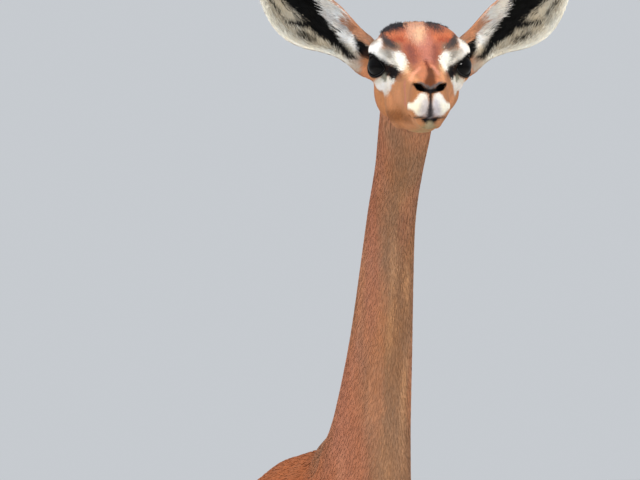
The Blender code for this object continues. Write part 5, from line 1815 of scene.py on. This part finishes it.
def hair_material(name, shade, streak, patch, rough, bump):
    """Skin or coat: the painted tint, broken up by patches and fine streaks."""
    m = Nodes(name)
    paint = m.add("ShaderNodeAttribute", {"attribute_name": "tint"}).outputs["Color"]
    patches = m.ramp(m.noise(26.0, (1, 1, 0.7), 4.0, 0.6), 0.3, 0.7, 1 - patch, 1 + patch)
    bands = m.ramp(m.noise(80.0, (1, 1, 0.2), 4.0, 0.6), 0.3, 0.7, 1 - patch * 1.2, 1 + patch * 1.2)
    patches = m.math("MULTIPLY", patches, bands)
    upright = m.noise(620.0, (1, 1, 0.16), 2.0, 0.6)
    lengthwise = m.noise(620.0, (1, 0.16, 1), 2.0, 0.6)
    place = m.add("ShaderNodeTexCoord").outputs["Object"]
    height = m.add("ShaderNodeSeparateXYZ", None, Vector=place).outputs["Z"]
    level = m.ramp(height, 0.70, 0.86)
    above = m.ramp(height, 0.90, 0.97, 1.0, 0.0)
    trunk_share = m.math("MULTIPLY", level, above)
    mixed = m.add("ShaderNodeMix", {"data_type": "FLOAT"})
    m.feed(mixed, "0", trunk_share)
    m.feed(mixed, "2", upright)
    m.feed(mixed, "3", lengthwise)
    streaks = mixed.outputs[0]
    light = m.math("MULTIPLY", patches, m.ramp(streaks, 0.25, 0.75, shade - streak, shade + streak))
    hue = m.add("ShaderNodeMix", {"data_type": "RGBA"})
    m.feed(hue, "0", m.ramp(m.noise(34.0, (1, 1, 0.35), 4.0, 0.6), 0.3, 0.7))
    m.feed(hue, "6", (1 + patch, 1.0, 1 - patch * 1.5, 1.0))
    m.feed(hue, "7", (1 - patch, 1.0, 1 + patch * 1.5, 1.0))
    toned = m.add("ShaderNodeVectorMath", {"operation": "MULTIPLY"})
    m.feed(toned, "0", paint)
    m.feed(toned, "1", hue.outputs[2])
    m.set(Base_Color=m.scaled(toned.outputs[0], light), Roughness=m.ramp(streaks, 0.2, 0.8, rough - 0.08, rough + 0.1))
    m.shader.inputs["Specular IOR Level"].default_value = 0.08
    m.bump(streaks, bump, 0.0008)
    return m.material


def eye_material():
    m = Nodes("eye_wet")
    paint = m.add("ShaderNodeAttribute", {"attribute_name": "tint"}).outputs["Color"]
    flecks = m.ramp(m.noise(900.0, (1, 1, 1), 2.0), 0.3, 0.7, 0.75, 1.25)
    m.set(Base_Color=m.scaled(paint, flecks), Roughness=m.ramp(m.noise(70.0), 0.3, 0.7, 0.03, 0.07))
    m.shader.inputs["Coat Weight"].default_value = 0.05
    m.shader.inputs["Coat Roughness"].default_value = 0.02
    m.shader.inputs["Specular IOR Level"].default_value = 0.08
    return m.material


def plain_material(name, colour, spread, scale, stretch, rough, bump, distance, coat=0.0):
    """A finish of one colour with a grain in its tone, roughness and relief."""
    m = Nodes(name)
    grain = m.noise(scale, stretch, 4.0, 0.6)
    tone = m.add("ShaderNodeRGB")
    tone.outputs[0].default_value = (*srgb(*colour), 1)
    m.set(
        Base_Color=m.scaled(tone.outputs[0], m.ramp(grain, 0.25, 0.75, 1 - spread, 1 + spread)),
        Roughness=m.ramp(grain, 0.3, 0.7, rough - 0.08, rough + 0.08),
    )
    m.shader.inputs["Coat Weight"].default_value = coat
    m.bump(grain, bump, distance)
    return m.material


def paint_all(obj, material):
    obj.data.materials.clear()
    obj.data.materials.append(material)


# ---- stage


def area_light(name, place, aim, size, power, colour):
    lamp = bpy.data.lights.new(name, "AREA")
    lamp.shape = "DISK"
    lamp.size = size
    lamp.energy = power
    lamp.color = colour
    made = bpy.data.objects.new(name, lamp)
    bpy.context.scene.collection.objects.link(made)
    made.location = place
    made.rotation_euler = (Vector(place) - Vector(aim)).to_track_quat("Z", "Y").to_euler()
    return made


def studio(shift):
    """Camera, floor, soft light and a pale surround."""
    azimuth = math.radians(-25)
    back = Vector((math.sin(azimuth), -math.cos(azimuth), 0))
    right = Vector((math.cos(azimuth), math.sin(azimuth), 0))
    up = Vector((0, 0, 1))
    aim = EYE_MIDDLE + right * -0.0997 + up * -0.1735 + shift
    lens = bpy.data.cameras.new("camera")
    camera = bpy.data.objects.new("camera", lens)
    bpy.context.scene.collection.objects.link(camera)
    camera.location = aim + back * CAMERA_DISTANCE
    camera.rotation_euler = back.to_track_quat("Z", "Y").to_euler()
    lens.sensor_fit = "HORIZONTAL"
    lens.sensor_width = 36
    lens.lens = 36 * CAMERA_DISTANCE / FRAME_WIDTH
    lens.clip_end = 100
    bpy.context.scene.camera = camera
    work = bmesh.new()
    bmesh.ops.create_grid(work, x_segments=24, y_segments=24, size=40)
    floor = new_object("floor", work)
    paint_all(floor, plain_material("studio_floor", (224, 222, 218), 0.02, 9.0, (1, 1, 1), 0.75, 0.05, 0.001))
    target = aim + up * 0.05
    for name, r, b, u, size, power, colour in LIGHTS:
        lamp = area_light(name, target + right * r + back * b + up * u, target, size, power, colour)
        lamp.visible_glossy = name == "key"
    world = bpy.data.worlds.new("surround")
    world.use_nodes = True
    world.node_tree.nodes["Background"].inputs[0].default_value = (0.86, 0.90, 0.95, 1)
    world.node_tree.nodes["Background"].inputs[1].default_value = WORLD_LIGHT
    bpy.context.scene.world = world
    bpy.context.scene.view_settings.view_transform = "Standard"


# ---- the whole


def main():
    rng = np.random.default_rng(11)
    low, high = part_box("left_eye")
    shift = (low + high) / 2 - eye_axes(1)[0]
    skin = make_skin()
    co, normal = mesh_points(skin)
    set_tint(skin.data, tint(co, normal))
    skin.data.shade_smooth()
    coat = make_coat(skin, rng)
    tree = BVHTree.FromObject(skin, bpy.context.evaluated_depsgraph_get())
    hair = ear_hair(tree, rng) + [crown_hair(tree, rng)] + lash_pieces(rng) + coronet_hair(rng)
    tuft = tail_tuft(rng)
    eyes = {f"{word}_eye": eyeball(side, f"{word}_eyeball") for side, word in ((1, "left"), (-1, "right"))}
    rims = [lid_rim(side, f"{word}_lid_rim") for side, word in ((1, "left"), (-1, "right"))]
    horn = horn_pieces()
    log("pieces")

    skin_finish = hair_material("skin_under_coat", 0.93, 0.06, 0.05, 0.62, 0.4)
    coat_finish = hair_material("short_coat", 1.0, 0.05, 0.06, 0.70, 0.2)
    tuft_finish = hair_material("tuft_hair", 1.0, 0.14, 0.05, 0.46, 0.3)
    horn_finish = plain_material("hoof_horn", (52, 46, 44), 0.35, 90.0, (1, 1, 9), 0.38, 0.35, 0.0006)
    rim_finish = plain_material("lid_edge", (14, 11, 12), 0.25, 500.0, (1, 1, 1), 0.42, 0.2, 0.0004)
    wet = eye_material()

    flesh = [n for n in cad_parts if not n.endswith(("eye", "claw", "tail_tuft"))]
    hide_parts(*sorted(flesh))
    paint_all(skin, skin_finish)
    for piece in coat + hair:
        paint_all(piece, coat_finish)
    paint_all(tuft, tuft_finish)
    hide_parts("tail_tuft")
    for node, piece in eyes.items():
        paint_all(piece, wet)
        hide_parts(node)
    for piece in rims:
        paint_all(piece, rim_finish)
    for node, piece in horn.items():
        paint_all(piece, horn_finish)
        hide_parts(node)
    slots = [(p, "coat") for p in [skin, *coat, *hair, *rims]]
    slots += [(tuft, "tuft")] + [(p, "eye") for p in eyes.values()] + [(p, "horn") for p in horn.values()]
    for piece, slot in slots:
        piece.data.transform(Matrix.Translation(shift))
        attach(piece, "root")
    total = 0
    for piece, _ in slots:
        total += sum(len(p.vertices) - 2 for p in piece.data.polygons) if len(piece.data.polygons) < 9e4 else len(
            piece.data.polygons
        )
    log("triangles about", total)
    studio(shift)


main()
